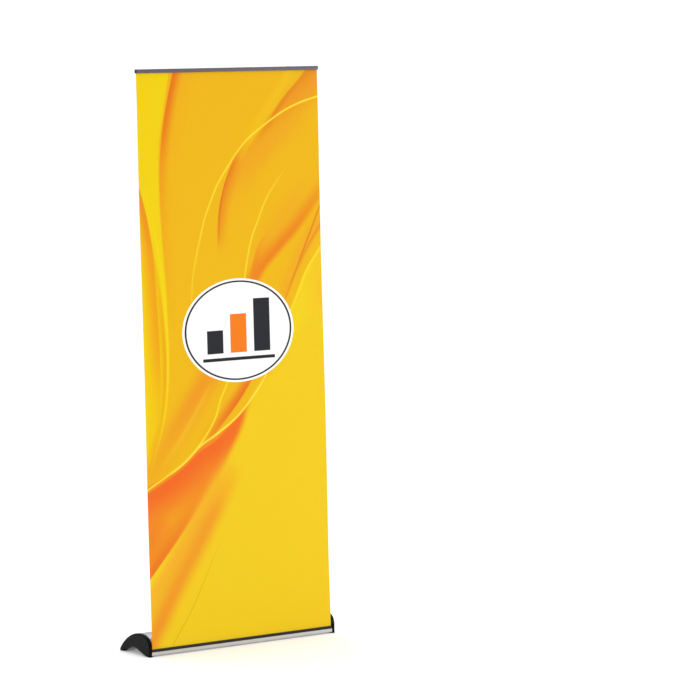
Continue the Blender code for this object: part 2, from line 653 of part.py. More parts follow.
def make_adjuster(adjuster):
    """Slotted disc in the right cap. Turning it winds the spindle and loads the spring."""
    face = CAP_OUTER - GAP
    step = face - ADJUSTER_DISC
    inner_end = CAP_INNER - 1.6 * MM
    groove = ADJUSTER_SHAFT - 1 * MM
    clip_low = CAP_INNER - 1.2 * MM
    clip_high = CAP_INNER - GAP
    profile = [(0, inner_end), (ADJUSTER_SHAFT, inner_end), (ADJUSTER_SHAFT, clip_low - 0.15 * MM),
               (groove, clip_low - 0.15 * MM), (groove, clip_high + 0.15 * MM),
               (ADJUSTER_SHAFT, clip_high + 0.15 * MM), (ADJUSTER_SHAFT, step), (ADJUSTER_RADIUS, step),
               (ADJUSTER_RADIUS, face - 0.6 * MM), (ADJUSTER_RADIUS - 0.6 * MM, face), (0, face)]
    disc = piece("tension_adjuster", turned(profile), "gloss_black", adjuster)
    length, width, depth = SCREW_SLOT
    slot = block((face - depth, -length / 2, -width / 2), (face + 1 * MM, length / 2, width / 2))
    cut(disc, placed(slot, Matrix.Rotation(SCREW_SLOT_TILT, 4, "X")))
    spindle_tip = CAP_OUTER - SPINDLE_INSET
    cut(disc, rod(SPINDLE_RADIUS + GAP, inner_end - 1 * MM, spindle_tip + GAP))
    clip = tube(ADJUSTER_SHAFT + 3 * MM, groove + GAP, clip_low + 0.1 * MM, clip_high - 0.1 * MM)
    piece("adjuster_clip", clip, "steel", adjuster)
    start = spindle_end()
    piece("spring_spindle", rod(SPINDLE_RADIUS, start, spindle_tip), "steel", adjuster)
    collar = start + 14 * MM
    ring = tube(SPRING_RADIUS + 2 * MM, SPINDLE_RADIUS + GAP, collar, collar + 8 * MM)
    piece("spring_anchor", ring, "satin_black", adjuster)
    near = TUBE_END - PLUG_DEPTH - 6 * MM - GAP - SPRING_WIRE
    spring = helix(SPRING_RADIUS, SPRING_WIRE, collar + 8 * MM + GAP + SPRING_WIRE, near, SPRING_TURNS)
    piece("tension_spring", spring, "steel", adjuster)


# ---------------------------------------------------------------- print
def print_back(height):
    """Distance of the leaning print behind the front of the base, at one height."""
    share = (height - SEAL_TOP) / (RAIL_BOTTOM - SEAL_TOP)
    return PRINT_BACK + GRAPHIC_LEAN * share


def rail_roof():
    return RAIL_BOTTOM + RAIL_CHAMBER_RISE


def make_print(rail):
    top = rail_roof() + 0.6 * MM
    half = GRAPHIC_THICKNESS / 2
    low = print_back(PRINT_BOTTOM)
    high = print_back(top)
    outline = [(low - half, PRINT_BOTTOM), (low + half, PRINT_BOTTOM), (high + half, top), (high - half, top)]
    piece("banner_print", prism(outline, -HALF_PRINT, HALF_PRINT), "print", rail)


def make_leader(base):
    """Run of the print from the roller's underside to the slot, which it leaves upwards."""
    half = GRAPHIC_THICKNESS / 2
    bend = 4 * MM
    start_back = print_back(PRINT_BOTTOM)
    bend_centre = Vector((start_back + bend, PRINT_BOTTOM - 3 * MM))
    roller_centre = Vector((ROLLER_BACK, ROLLER_HEIGHT))
    reach = ROLLER_RADIUS + GAP + WRAP_THICKNESS + GAP + half
    across = roller_centre - bend_centre
    normal_angle = math.atan2(across.y, across.x) + math.acos((reach - bend) / across.length)
    sweep_end = normal_angle + math.pi
    steps = 6
    middle = [(Vector((start_back, PRINT_BOTTOM - GAP)), math.pi)]
    for i in range(steps + 1):
        angle = math.pi + (sweep_end - math.pi) * i / steps
        middle.append((bend_centre + bend * Vector((math.cos(angle), math.sin(angle))), angle))
    outward = Vector((math.cos(sweep_end), math.sin(sweep_end)))
    middle.append((roller_centre + reach * outward, sweep_end))
    outer = [point + half * Vector((math.cos(a), math.sin(a))) for point, a in middle]
    inner = [point - half * Vector((math.cos(a), math.sin(a))) for point, a in middle]
    outline = [tuple(point) for point in outer + list(reversed(inner))]
    piece("print_leader", prism(outline, -HALF_PRINT, HALF_PRINT), "print", base)


# ---------------------------------------------------------------- top rail
def rail_outline():
    """Rail section with a keyhole for the print's header below and a groove behind."""
    front = RAIL_BACK - RAIL_DEPTH / 2
    back = RAIL_BACK + RAIL_DEPTH / 2
    top = STAND_HEIGHT
    corner = RAIL_CORNER
    mouth = RAIL_MOUTH / 2
    half, rise = RAIL_CHAMBER[0] / 2, RAIL_CHAMBER[1]
    hook = RAIL_BACK + half - RAIL_HOOK
    width, depth = RAIL_GROOVE
    middle = (RAIL_BOTTOM + top) / 2 + 1 * MM
    roof = rail_roof()
    return [(front + corner, RAIL_BOTTOM), (RAIL_BACK - mouth, RAIL_BOTTOM), (RAIL_BACK - mouth, roof),
            (RAIL_BACK - half, roof), (RAIL_BACK - half, roof + rise), (hook, roof + rise),
            (hook, roof), (RAIL_BACK + mouth, roof), (RAIL_BACK + mouth, RAIL_BOTTOM),
            (back - corner, RAIL_BOTTOM), (back, RAIL_BOTTOM + corner), (back, middle - width / 2),
            (back - depth, middle - width / 2), (back - depth, middle + width / 2),
            (back, middle + width / 2),
            (back, top - corner), (back - corner, top), (front + corner, top), (front, top - corner),
            (front, RAIL_BOTTOM + corner)]


def make_rail(rail):
    piece("top_rail", prism(rail_outline(), -HALF_PRINT, HALF_PRINT), "graphite", rail)
    half, rise = RAIL_CHAMBER[0] / 2, RAIL_CHAMBER[1]
    header_front = RAIL_BACK - half + GAP
    header_back = RAIL_BACK + half - RAIL_HOOK - GAP
    header_low = rail_roof() + 1 * MM
    header_high = rail_roof() + rise - GAP
    header = [(header_front, header_low), (header_back, header_low), (header_back, header_high),
              (header_front, header_high)]
    piece("header_strip", prism(header, -HALF_PRINT + 1 * MM, HALF_PRINT - 1 * MM), "white", rail)
    front = RAIL_BACK - RAIL_DEPTH / 2
    back = RAIL_BACK + RAIL_DEPTH / 2
    corner = RAIL_CORNER
    plate = [(front + corner, RAIL_BOTTOM), (back - corner, RAIL_BOTTOM), (back, RAIL_BOTTOM + corner),
             (back, STAND_HEIGHT - corner), (back - corner, STAND_HEIGHT), (front + corner, STAND_HEIGHT),
             (front, STAND_HEIGHT - corner), (front, RAIL_BOTTOM + corner)]
    for side, label in ((-1, "left"), (1, "right")):
        xs = (side * (HALF_PRINT + GAP), side * (HALF_PRINT + GAP + RAIL_CAP))
        piece("rail_cap_" + label, prism(plate, *xs), "satin_black", rail)


def make_bracket(rail):
    """Moulded bracket in the rail's rear groove, with a pocket for the tip of the pole."""
    front = RAIL_BACK + RAIL_DEPTH / 2 + GAP
    width, depth = RAIL_GROOVE
    middle = (RAIL_BOTTOM + STAND_HEIGHT) / 2 + 1 * MM
    low = RAIL_BOTTOM + PLATE_INSET
    high = STAND_HEIGHT - PLATE_INSET
    plate = block((-BRACKET_HALF, FRONT + front, low), (BRACKET_HALF, FRONT + front + BRACKET_PLATE, high))
    bracket = piece("rail_bracket", plate, "satin_black", rail)
    join(bracket, block((-BRACKET_HALF + 1 * MM, FRONT + front - depth, middle - width / 2 + GAP),
                        (BRACKET_HALF - 1 * MM, FRONT + front + 1 * MM, middle + width / 2 - GAP)))
    bore = TIP_RADIUS + RUNNING_GAP
    wall = bore + TIP_SOCKET_WALL
    bottom = RAIL_BOTTOM - BRACKET_DROP
    in_plate = front + BRACKET_PLATE - 1 * MM
    boss_front = FRONT + min(max(front, POLE_BACK - wall), in_plate)
    join(bracket, block((-wall, boss_front, bottom), (wall, POLE_AXIS.y + wall, high - 2 * MM)))
    pocket = rod(bore, bottom - 5 * MM, bottom + TIP_LENGTH + GAP, "Z", 24)
    cut(bracket, moved(pocket, POLE_AXIS))
    for side, label in ((-1, "left"), (1, "right")):
        x = side * (BRACKET_HALF - 6 * MM)
        y = FRONT + front + BRACKET_PLATE
        hole = rod(SCREW_RADIUS + SCREW_HOLE_GAP, -8 * MM, 2 * MM, "Y", 12)
        cut(bracket, moved(hole, (x, y, middle)))
        screw = placed(screw_shape(BRACKET_PLATE + 2 * MM), Matrix.Rotation(math.pi / 2, 4, "X"))
        piece("bracket_screw_" + label, moved(screw, (x, y + GAP, middle)), "steel", rail)


# ---------------------------------------------------------------- telescopic pole
def pole_foot():
    return socket_floor() + SOCKET_WALL + GAP


def pole_head():
    return RAIL_BOTTOM - BRACKET_DROP - GAP


def pole_levels():
    """Bottom and top of each of the three tubes, pulled out."""
    foot = pole_foot() + PLUG_RIM + GAP
    head = pole_head() - TIP_SHOULDER
    length = (head - foot + 2 * POLE_OVERLAP) / 3
    lower = (foot, foot + length)
    middle = (lower[1] - POLE_OVERLAP, lower[1] - POLE_OVERLAP + length)
    upper = (middle[1] - POLE_OVERLAP, head)
    return lower, middle, upper


def end_plug(radius, wall, level, side):
    """Plug in the end of a tube with a rim as wide as the tube: side is -1 below, 1 above."""
    rim = level + side * PLUG_RIM
    seat = level + side * GAP
    end = level - side * PLUG_BODY
    body = radius - wall - GAP
    return turned([(0, rim), (radius, rim), (radius, seat), (body, seat), (body, end), (0, end)], "Z", 24)


def lock_collar(outer_tube, inner_tube, level):
    """Ribbed collar that turns on the end of a tube and closes the lock bush on the next tube."""
    grip_bore = outer_tube + GAP
    neck_bore = inner_tube + GAP
    bush_bore = neck_bore + LOCK_BUSH_WALL
    top = level + COLLAR_GRIP
    neck = top - 3 * MM
    low = level - COLLAR_GRIP
    ring = [(grip_bore, low), (COLLAR_RADIUS - 2 * MM, low), (COLLAR_RADIUS, low + 3 * MM),
            (COLLAR_RADIUS, level + 8 * MM), (COLLAR_RADIUS - 2.5 * MM, top), (neck_bore, top),
            (neck_bore, neck), (bush_bore, neck), (bush_bore, level + GAP), (grip_bore, level + GAP)]
    return turned(ring, "Z", 2 * COLLAR_RIBS)


def lock_bush(inner_tube, level):
    """Split bush that grips the next tube inside a collar."""
    start = level + 2 * GAP
    return tube(inner_tube + LOCK_BUSH_WALL, inner_tube + GAP, start, level + LOCK_BUSH_LENGTH, "Z")


def add_ribs(collar, level):
    for k in range(COLLAR_RIBS):
        angle = 2 * math.pi * (k + 0.5) / COLLAR_RIBS
        rib = block((COLLAR_RADIUS - 1.5 * MM, -0.9 * MM, level - COLLAR_GRIP + 5 * MM),
                    (COLLAR_RADIUS + 0.8 * MM, 0.9 * MM, level + 6 * MM))
        join(collar, placed(rib, Matrix.Rotation(angle, 4, "Z")))


def make_pole():
    lower, middle, upper = pole_levels()
    fixed = group("pole_lower_axis", POLE_AXIS)
    piece("pole_lower", tube(LOWER_RADIUS, LOWER_RADIUS - POLE_WALL, *lower, "Z"), "silver", fixed)
    piece("pole_foot_plug", end_plug(LOWER_RADIUS, POLE_WALL, lower[0], -1), "satin_black", fixed)
    piece("lower_lock_bush", lock_bush(MIDDLE_RADIUS, lower[1]), "white", fixed)
    twist = group("lower_lock_axis", POLE_AXIS)
    collar = lock_collar(LOWER_RADIUS, MIDDLE_RADIUS, lower[1])
    collar = piece("lower_lock_collar", collar, "satin_black", twist)
    add_ribs(collar, lower[1])

    sliding = group("pole_middle_axis", POLE_AXIS)
    inner = MIDDLE_RADIUS - POLE_WALL
    piece("pole_middle", tube(MIDDLE_RADIUS, inner, *middle, "Z"), "silver", sliding)
    piece("middle_end_plug", end_plug(MIDDLE_RADIUS, POLE_WALL, middle[0], -1), "satin_black", sliding)
    piece("upper_lock_bush", lock_bush(UPPER_RADIUS, middle[1]), "white", sliding)
    twist = group("upper_lock_axis", POLE_AXIS)
    collar = lock_collar(MIDDLE_RADIUS, UPPER_RADIUS, middle[1])
    collar = piece("upper_lock_collar", collar, "satin_black", twist)
    add_ribs(collar, middle[1])

    rising = group("pole_upper_axis", POLE_AXIS)
    bore = UPPER_RADIUS - POLE_WALL
    piece("pole_upper", tube(UPPER_RADIUS, bore, *upper, "Z"), "silver", rising)
    piece("upper_end_plug", end_plug(UPPER_RADIUS, POLE_WALL, upper[0], -1), "satin_black", rising)
    head = pole_head()
    tip = [(0, upper[1] - 16 * MM), (bore - GAP, upper[1] - 16 * MM), (bore - GAP, upper[1] + GAP),
           (UPPER_RADIUS, upper[1] + GAP), (UPPER_RADIUS, head), (TIP_RADIUS, head),
           (TIP_RADIUS, head + TIP_LENGTH - 1.5 * MM), (TIP_RADIUS - 1.5 * MM, head + TIP_LENGTH),
           (0, head + TIP_LENGTH)]
    piece("pole_tip", turned(tip, "Z", 24), "satin_black", rising)


def main():
    clear_scene()
    base = group("base_frame")
    make_casing(base)
    make_slot_parts(base)
    caps = {}
    for side, label in ((-1, "left"), (1, "right")):
        caps[label] = make_cap(base, side, label)
        make_cap_screws(base, side, label)
        make_feet(base, side, label)
    make_cap_bores(caps["left"], caps["right"])
    make_socket(base)
    make_bush(base)
    make_leader(base)
    make_roller(group("roller_axis", ROLLER_AXIS))
    make_adjuster(group("adjuster_axis", ROLLER_AXIS))
    make_pole()
    rail = group("rail_frame")
    make_rail(rail)
    make_bracket(rail)
    make_print(rail)


main()
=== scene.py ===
"""Finished look of a roll-up banner stand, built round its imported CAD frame.

Lengths are in metres, +Z is up, and the printed side faces -Y. "Back" is the distance behind the
front face of the base, as in the CAD source.
"""
import math

import bmesh
import bpy
import numpy as np
from mathutils import Matrix, Vector
from mathutils.geometry import tessellate_polygon


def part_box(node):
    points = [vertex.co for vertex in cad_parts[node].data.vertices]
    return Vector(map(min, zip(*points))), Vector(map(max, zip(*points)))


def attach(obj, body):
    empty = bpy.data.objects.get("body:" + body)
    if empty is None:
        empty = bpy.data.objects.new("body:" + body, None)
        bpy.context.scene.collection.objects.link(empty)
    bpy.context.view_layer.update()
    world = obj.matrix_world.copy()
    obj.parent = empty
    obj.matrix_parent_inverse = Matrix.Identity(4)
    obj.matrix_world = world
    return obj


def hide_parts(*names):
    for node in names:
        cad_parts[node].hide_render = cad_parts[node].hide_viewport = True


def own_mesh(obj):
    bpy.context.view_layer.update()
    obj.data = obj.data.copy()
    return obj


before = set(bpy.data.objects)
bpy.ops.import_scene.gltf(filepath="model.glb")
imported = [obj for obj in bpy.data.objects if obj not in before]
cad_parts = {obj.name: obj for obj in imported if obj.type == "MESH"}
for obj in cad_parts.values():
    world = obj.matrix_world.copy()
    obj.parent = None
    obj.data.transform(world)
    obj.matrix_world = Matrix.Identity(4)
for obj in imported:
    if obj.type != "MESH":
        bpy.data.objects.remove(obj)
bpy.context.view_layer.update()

MM = 0.001
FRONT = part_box("end_cap_left")[0].y
CAP_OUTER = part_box("end_cap_right")[1].x
CAP_WIDTH = 12 * MM
CAP_INNER = CAP_OUTER - CAP_WIDTH
BASE_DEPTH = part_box("end_cap_left")[1].y - FRONT
BASE_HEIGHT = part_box("end_cap_left")[1].z
HALF_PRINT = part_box("banner_print")[1].x
STAND_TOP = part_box("top_rail")[1].z
RAIL_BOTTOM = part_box("top_rail")[0].z


def middle_of(node):
    """Centre of a CAD node's box."""
    low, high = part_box(node)
    return (low + high) / 2


ROLLER_AXIS = middle_of("roller_tube") * Vector((0, 1, 1))
POLE_AXIS = middle_of("pole_lower") * Vector((1, 1, 0))
CAP_SCREWS = ["cap_screw_" + side + "_" + place for side in ("left", "right") for place in ("front", "rear")]


# ---------------------------------------------------------------- meshes
# The most of a side's length that the rounding of one corner takes.
SIDE_SHARE = 0.45


def loft(rings):
    """Closed solid through rings of equally many points, flat at both ends."""
    bm = bmesh.new()
    loops = [[bm.verts.new(point) for point in ring] for ring in rings]
    count = len(loops[0])
    for near, far in zip(loops, loops[1:]):
        for i in range(count):
            j = (i + 1) % count
            bm.faces.new((near[i], near[j], far[j], far[i]))
    for loop in (loops[0], loops[-1]):
        flat = [vert.co for vert in loop]
        for triangle in tessellate_polygon([flat]):
            bm.faces.new([loop[i] for i in triangle])
    return bm


def prism(outline, x_from, x_to, holes=()):
    """Closed outlines of (back, height) points run along X. The holes go right through."""
    bm = bmesh.new()
    outlines = [outline, *holes]
    ends = []
    for x in (x_from, x_to):
        ends.append([[bm.verts.new((x, FRONT + b, h)) for b, h in line] for line in outlines])
    for near, far in zip(*ends):
        for i in range(len(near)):
            j = (i + 1) % len(near)
            bm.faces.new((near[i], near[j], far[j], far[i]))
    triangles = tessellate_polygon([[Vector((b, h, 0)) for b, h in line] for line in outlines])
    for end in ends:
        verts = [vert for loop in end for vert in loop]
        for triangle in triangles:
            bm.faces.new([verts[i] for i in triangle])
    return bm


def turned(profile, axis, sides):
    """Solid turned about X or Z from a closed profile of (radius, place along the axis) points."""
    bm = bmesh.new()
    turns = [2 * math.pi * k / sides for k in range(sides)]
    rings = []
    for radius, along in profile:
        if radius < 1e-9:
            rings.append([bm.verts.new((along, 0, 0))])
        else:
            rings.append([bm.verts.new((along, radius * math.cos(a), radius * math.sin(a))) for a in turns])
    for near, far in zip(rings, rings[1:] + rings[:1]):
        for k in range(sides):
            j = (k + 1) % sides
            corners = []
            for vert in (near[k % len(near)], near[j % len(near)], far[j % len(far)], far[k % len(far)]):
                if vert not in corners:
                    corners.append(vert)
            if len(corners) > 2:
                bm.faces.new(corners)
    if axis == "Z":
        bmesh.ops.transform(bm, matrix=Matrix.Rotation(-math.pi / 2, 4, "Y"), verts=bm.verts)
    return bm


def eased(points, radius, steps, least_turn=25):
    """The closed outline with its corners rounded, where they turn by at least this many degrees.

    The radius is one for all the corners, or a list with one for each.
    """
    result = []
    count = len(points)
    radii = radius if isinstance(radius, list) else [radius] * count
    for i in range(count):
        before, here, after = (Vector(points[k % count]) for k in (i - 1, i, i + 1))
        into, out = here - before, after - here
        turn = into.angle(out, 0)
        if math.degrees(turn) < least_turn:
            result.append(tuple(here))
            continue
        reach = min(radii[i] * math.tan(turn / 2), SIDE_SHARE * into.length, SIDE_SHARE * out.length)
        start, end = here - into.normalized() * reach, here + out.normalized() * reach
        for k in range(steps + 1):
            t = k / steps
            result.append(tuple(start * (1 - t) ** 2 + here * 2 * t * (1 - t) + end * t * t))
    return result


def rectangle(low, high, inset=0):
    """Corners of the rectangle between two opposite ones, drawn in by an inset."""
    (left, bottom), (right, top) = low, high
    return [(left + inset, bottom + inset), (right - inset, bottom + inset),
            (right - inset, top - inset), (left + inset, top - inset)]


def around(across, up, *offsets):
    """Points that lie these (across, up) millimetres away from a place."""
    return [(across + right * MM, up + higher * MM) for right, higher in offsets]


def rounded_block(low, high, radius):
    """Box run along Z with rounded upright edges and eased rims."""
    rim = 0.35 * radius
    rings = []
    for level, inset in ((low[2], rim), (low[2] + rim, 0), (high[2] - rim, 0), (high[2], rim)):
        outline = eased(rectangle(low[:2], high[:2], inset), radius, 3)
        rings.append([(x, y, level) for x, y in outline])
    return loft(rings)


def rod(radius, start, end, axis="X", sides=48):
    return turned([(0, start), (radius, start), (radius, end), (0, end)], axis, sides)


def moved(bm, offset):
    """The bmesh after a straight move."""
    bmesh.ops.translate(bm, vec=Vector(offset), verts=bm.verts)
    return bm


def placed(bm, matrix):
    """The bmesh after a transform."""
    bmesh.ops.transform(bm, matrix=matrix, verts=bm.verts)
    return bm


def linked(name, data):
    """New object in the scene with this data."""
    obj = bpy.data.objects.new(name, data)
    bpy.context.scene.collection.objects.link(obj)
    return obj


def new_object(name, bm):
    """Object from a bmesh, with doubles merged and faces turned outwards."""
    bmesh.ops.remove_doubles(bm, verts=bm.verts, dist=1e-6)
    bmesh.ops.dissolve_degenerate(bm, edges=bm.edges, dist=1e-7)
    bmesh.ops.recalc_face_normals(bm, faces=bm.faces)
    mesh = bpy.data.meshes.new(name)
    bm.to_mesh(mesh)
    bm.free()
    return linked(name, mesh)


def settle(obj):
    """Turns what the modifiers make into the object's own plain mesh."""
    bpy.context.view_layer.update()
    evaluated = obj.evaluated_get(bpy.context.evaluated_depsgraph_get())
    made = bpy.data.meshes.new_from_object(evaluated)
    obj.modifiers.clear()
    obj.data = made
    made.name = obj.name


def combine(target, shape, operation="DIFFERENCE"):
    """Cuts a shape from a piece, or with "UNION" joins it on."""
    tool = new_object("tool", shape)
    modifier = target.modifiers.new("combine", "BOOLEAN")
    modifier.operation = operation
    modifier.solver = "EXACT"
    modifier.object = tool
    settle(target)
    bpy.data.objects.remove(tool)


def finish_piece(obj, material, body, slot, *nodes, sharp=32):
    """Shades a piece, gives it its material, and makes it ride a body in place of CAD nodes."""
    mesh = obj.data
    mesh.materials.clear()
    mesh.materials.append(material)
    mesh.shade_smooth()
    mesh.set_sharp_from_angle(angle=math.radians(sharp))
    modifier = obj.modifiers.new("normals", "WEIGHTED_NORMAL")
    modifier.keep_sharp = True
    settle(obj)
    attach(obj, body)
    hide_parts(*nodes)


# ---------------------------------------------------------------- nodes
def linear(colour):
    """An sRGB hex colour as a linear RGBA value."""
    values = []
    for i in (0, 2, 4):
        value = int(colour[i:i + 2], 16) / 255
        values.append(value / 12.92 if value <= 0.04045 else ((value + 0.055) / 1.055) ** 2.4)
    return (*values, 1)


def feed(tree, node, inputs):
    """Gives each of these inputs of a node its value, or links it from a socket."""
    for key, value in inputs.items():
        place = int(key[3:]) if key.startswith("in_") else key.replace("_", " ")
        socket = node.inputs[place]
        if isinstance(value, bpy.types.NodeSocket):
            tree.links.new(value, socket)
        else:
            socket.default_value = value


def add(tree, kind, settings=None, **inputs):
    """Adds a node. Settings are its properties, and each input is a value or a socket to link from.

    An input is named as its socket is, with _ for a space, or in_0, in_1 and so on by its place.
    """
    made = tree.nodes.new(kind)
    for key, value in (settings or {}).items():
        setattr(made, key, value)
    feed(tree, made, inputs)
    return made


def new_material(name):
    """Material with its node tree and a function that feeds its shader."""
    material = bpy.data.materials.new(name)
    material.use_nodes = True
    tree = material.node_tree
    shader = tree.nodes["Principled BSDF"]
    return material, tree, lambda **inputs: feed(tree, shader, inputs)


def moulded_or_drawn(name, colour, shade, grain, rough, bump, metallic=0.0, ior=None, cloud=60 * MM,
                     specular=None, specks=None):
    """A finish with a grain of a real size and slow changes in gloss from handling.

    Grain is the size of its pattern along X, Y and Z, rough the lowest and highest roughness,
    bump the height of the grain, and cloud the size of the slow changes. Specks of dust have a
    size, a colour and a strength.
    """
    material, tree, feed_shader = new_material(name)
    place = add(tree, "ShaderNodeTexCoord").outputs["Object"]
    scale = tuple(1 / size for size in grain)
    fine_place = add(tree, "ShaderNodeMapping", Vector=place, Scale=scale).outputs[0]
    fine = add(tree, "ShaderNodeTexNoise", Vector=fine_place, Scale=1.0, Detail=3.0, Roughness=0.6)
    slow = add(tree, "ShaderNodeTexNoise", Vector=place, Scale=1 / cloud, Detail=4.0, Roughness=0.55)
    both = 0.0
    for noise, share in ((fine, 0.55), (slow, 0.45)):
        both = add(tree, "ShaderNodeMath", {"operation": "MULTIPLY_ADD"}, in_0=noise.outputs[0],
                   in_1=share, in_2=both).outputs[0]
    gloss = add(tree, "ShaderNodeMapRange", Value=both, in_1=0.3, in_2=0.7, in_3=rough[0], in_4=rough[1])
    tone = add(tree, "ShaderNodeMix", {"data_type": "RGBA"}, in_0=both,
               in_6=linear(shade), in_7=linear(colour)).outputs[2]
    if specks:
        size, dust_colour, strength = specks
        dust = add(tree, "ShaderNodeTexNoise", Vector=place, Scale=1 / size, Detail=2.0)
        dust = add(tree, "ShaderNodeMapRange", {"interpolation_type": "SMOOTHSTEP"},
                   Value=dust.outputs[0], in_1=0.62, in_2=0.78, in_3=0.0, in_4=strength)
        tone = add(tree, "ShaderNodeMix", {"data_type": "RGBA"}, in_0=dust.outputs[0],
                   in_6=tone, in_7=linear(dust_colour)).outputs[2]
    relief = add(tree, "ShaderNodeBump", Strength=0.6, Distance=bump, Height=fine.outputs[0])
    feed_shader(Base_Color=tone, Roughness=gloss.outputs[0], Normal=relief.outputs[0], Metallic=metallic)
    if ior:
        feed_shader(IOR=ior)
    if specular:
        feed_shader(Specular_IOR_Level=specular)
    return material


# Matt silver anodised extrusion: soft wide highlights, with drawing lines along its length.
ALUMINIUM_CASING = moulded_or_drawn(
    "aluminium_silver_anodised_extruded", "CBCBCE", "B4B4B7", (180 * MM, 1.1 * MM, 1.1 * MM),
    (0.30, 0.42), 0.02 * MM, metallic=1.0)
# The same finish on drawn tube, whose lines run up the tube.
ALUMINIUM_TUBE = moulded_or_drawn(
    "aluminium_silver_anodised_drawn", "D0D1D2", "B9BABC", (0.9 * MM, 0.9 * MM, 160 * MM),
    (0.24, 0.36), 0.02 * MM, metallic=1.0)
# Dark anodised extrusion of the top rail: a soft grey sheen along its edges.
ALUMINIUM_RAIL = moulded_or_drawn(
    "aluminium_graphite_anodised_extruded", "6F6A70", "5A555B", (140 * MM, 1.0 * MM, 1.0 * MM),
    (0.34, 0.46), 0.02 * MM, metallic=1.0)
# Injection-moulded ABS from a polished mould: deep black with clear reflections and a faint waviness.
ABS_GLOSS = moulded_or_drawn(
    "abs_black_gloss_moulded", "060605", "030303", (14 * MM, 14 * MM, 14 * MM),
    (0.09, 0.16), 0.03 * MM, ior=1.54, specular=0.07, specks=(1.6 * MM, "4A4842", 0.04))
# ABS from a spark-eroded mould: fine pebbled grain that breaks up its reflections.
ABS_SATIN = moulded_or_drawn(
    "abs_black_satin_spark_eroded", "1D1D1C", "131312", (0.7 * MM, 0.7 * MM, 0.7 * MM),
    (0.42, 0.56), 0.03 * MM, ior=1.54, specular=0.35, specks=(2.2 * MM, "5A5853", 0.08))
# Extruded EPDM: dull dark grey with a slight bloom.
RUBBER_SEAL = moulded_or_drawn(
    "epdm_rubber_black_extruded", "2A2A2B", "1C1C1D", (60 * MM, 0.8 * MM, 0.8 * MM),
    (0.68, 0.82), 0.03 * MM, ior=1.52, specular=0.3, specks=(3 * MM, "6A6865", 0.12))
# Moulded grey rubber of the feet: dusty and matt.
RUBBER_FOOT = moulded_or_drawn(
    "tpe_rubber_grey_moulded", "6E6F71", "585A5C", (1.2 * MM, 1.2 * MM, 1.2 * MM),
    (0.66, 0.80), 0.04 * MM, ior=1.50, specks=(2.4 * MM, "8B8984", 0.15))
# Bright zinc plate over formed steel: slightly clouded mirror.
STEEL_ZINC = moulded_or_drawn(
    "steel_zinc_plated_bright", "C4C8CC", "A5A9AE", (1.5 * MM, 1.5 * MM, 1.5 * MM),
    (0.20, 0.38), 0.01 * MM, metallic=1.0, cloud=9 * MM)
# Cold-drawn spring wire and the ground shaft it is wound on: darker, with an oily film.
STEEL_SPRING = moulded_or_drawn(
    "steel_spring_oiled", "8E9093", "6C6E71", (2.0 * MM, 0.6 * MM, 0.6 * MM),
    (0.22, 0.34), 0.01 * MM, metallic=1.0, cloud=14 * MM)
# Turned or moulded acetal: milky white and waxy.
ACETAL = moulded_or_drawn(
    "acetal_white_moulded", "E4E3DE", "D6D5CF", (2.5 * MM, 2.5 * MM, 2.5 * MM),
    (0.36, 0.46), 0.01 * MM, ior=1.48)
# Back of a block-out polyester film: even light grey with a low sheen and slow mottling.
FILM_BACK = moulded_or_drawn(
    "polyester_film_grey_backed", "D7D7D4", "CDCDCB", (1.4 * MM, 1.4 * MM, 1.4 * MM),
    (0.46, 0.58), 0.01 * MM, ior=1.58, cloud=220 * MM)


# ---------------------------------------------------------------- outlines of the base
def bezier(start, lead, follow, end, steps):
    """Points along one cubic curve, without its last point."""
    points = []
    for i in range(steps):
        t = i / steps
        weights = ((1 - t) ** 3, 3 * t * (1 - t) ** 2, 3 * t * t * (1 - t), t ** 3)
        weighed = list(zip(weights, (start, lead, follow, end)))
        points.append(tuple(sum(weight * corner[k] for weight, corner in weighed) for k in (0, 1)))
    return points


CREST_BACK = 66 * MM
SHOULDER = 30 * MM
TOE_HEIGHT = 7 * MM
# The arch between the caps' feet: its crown, the level that it springs from, and its two ends.
ARCH_BACK = 106 * MM
ARCH_HEIGHT = 19.5 * MM
ARCH_SPRING = 0.4 * MM
ARCH_REAR = BASE_DEPTH - 26 * MM
ARCH_FRONT = 16 * MM
# How far the caps stand out from the casing's skin, and how far its underside stays above the arch
# and above the ground.
CASING_PROUD = 1.2 * MM
CASING_RISE = 2.5 * MM
LEAST_RISE = 2.6 * MM
CASING_WALL = 1.8 * MM
# Fine lines along the extrusion, by how far back they are.
FINE_LINES = (26 * MM, 29.5 * MM, 150 * MM, 154 * MM)
FINE_LINE_HALF = 0.9 * MM
FINE_LINE_DEPTH = 0.25 * MM


def back_curve(steps):
    """Top of the base from its crest down to the toe."""
    run = BASE_DEPTH - CREST_BACK
    rise = BASE_HEIGHT - TOE_HEIGHT
    lead = (CREST_BACK + 0.40 * run, BASE_HEIGHT)
    follow = (BASE_DEPTH - 0.19 * run, TOE_HEIGHT + 0.52 * rise)
    toe = (BASE_DEPTH, TOE_HEIGHT)
    return bezier((CREST_BACK, BASE_HEIGHT), lead, follow, toe, steps) + [toe]


def arch_curve(steps):
    """Underside of the end caps, from the rear foot forward to the front foot."""
    crown = (ARCH_BACK, ARCH_HEIGHT)
    rear_run, front_run = ARCH_REAR - ARCH_BACK, ARCH_BACK - ARCH_FRONT
    rear = bezier((ARCH_REAR, ARCH_SPRING), (ARCH_REAR - 0.24 * rear_run, 0.46 * ARCH_HEIGHT),
                  (ARCH_BACK + 0.41 * rear_run, ARCH_HEIGHT), crown, steps)
    end = (ARCH_FRONT, ARCH_SPRING)
    front = bezier(crown, (ARCH_BACK - 0.29 * front_run, ARCH_HEIGHT),
                   (ARCH_FRONT + 0.38 * front_run, 0.26 * ARCH_HEIGHT), end, steps)
    return rear + front + [end]


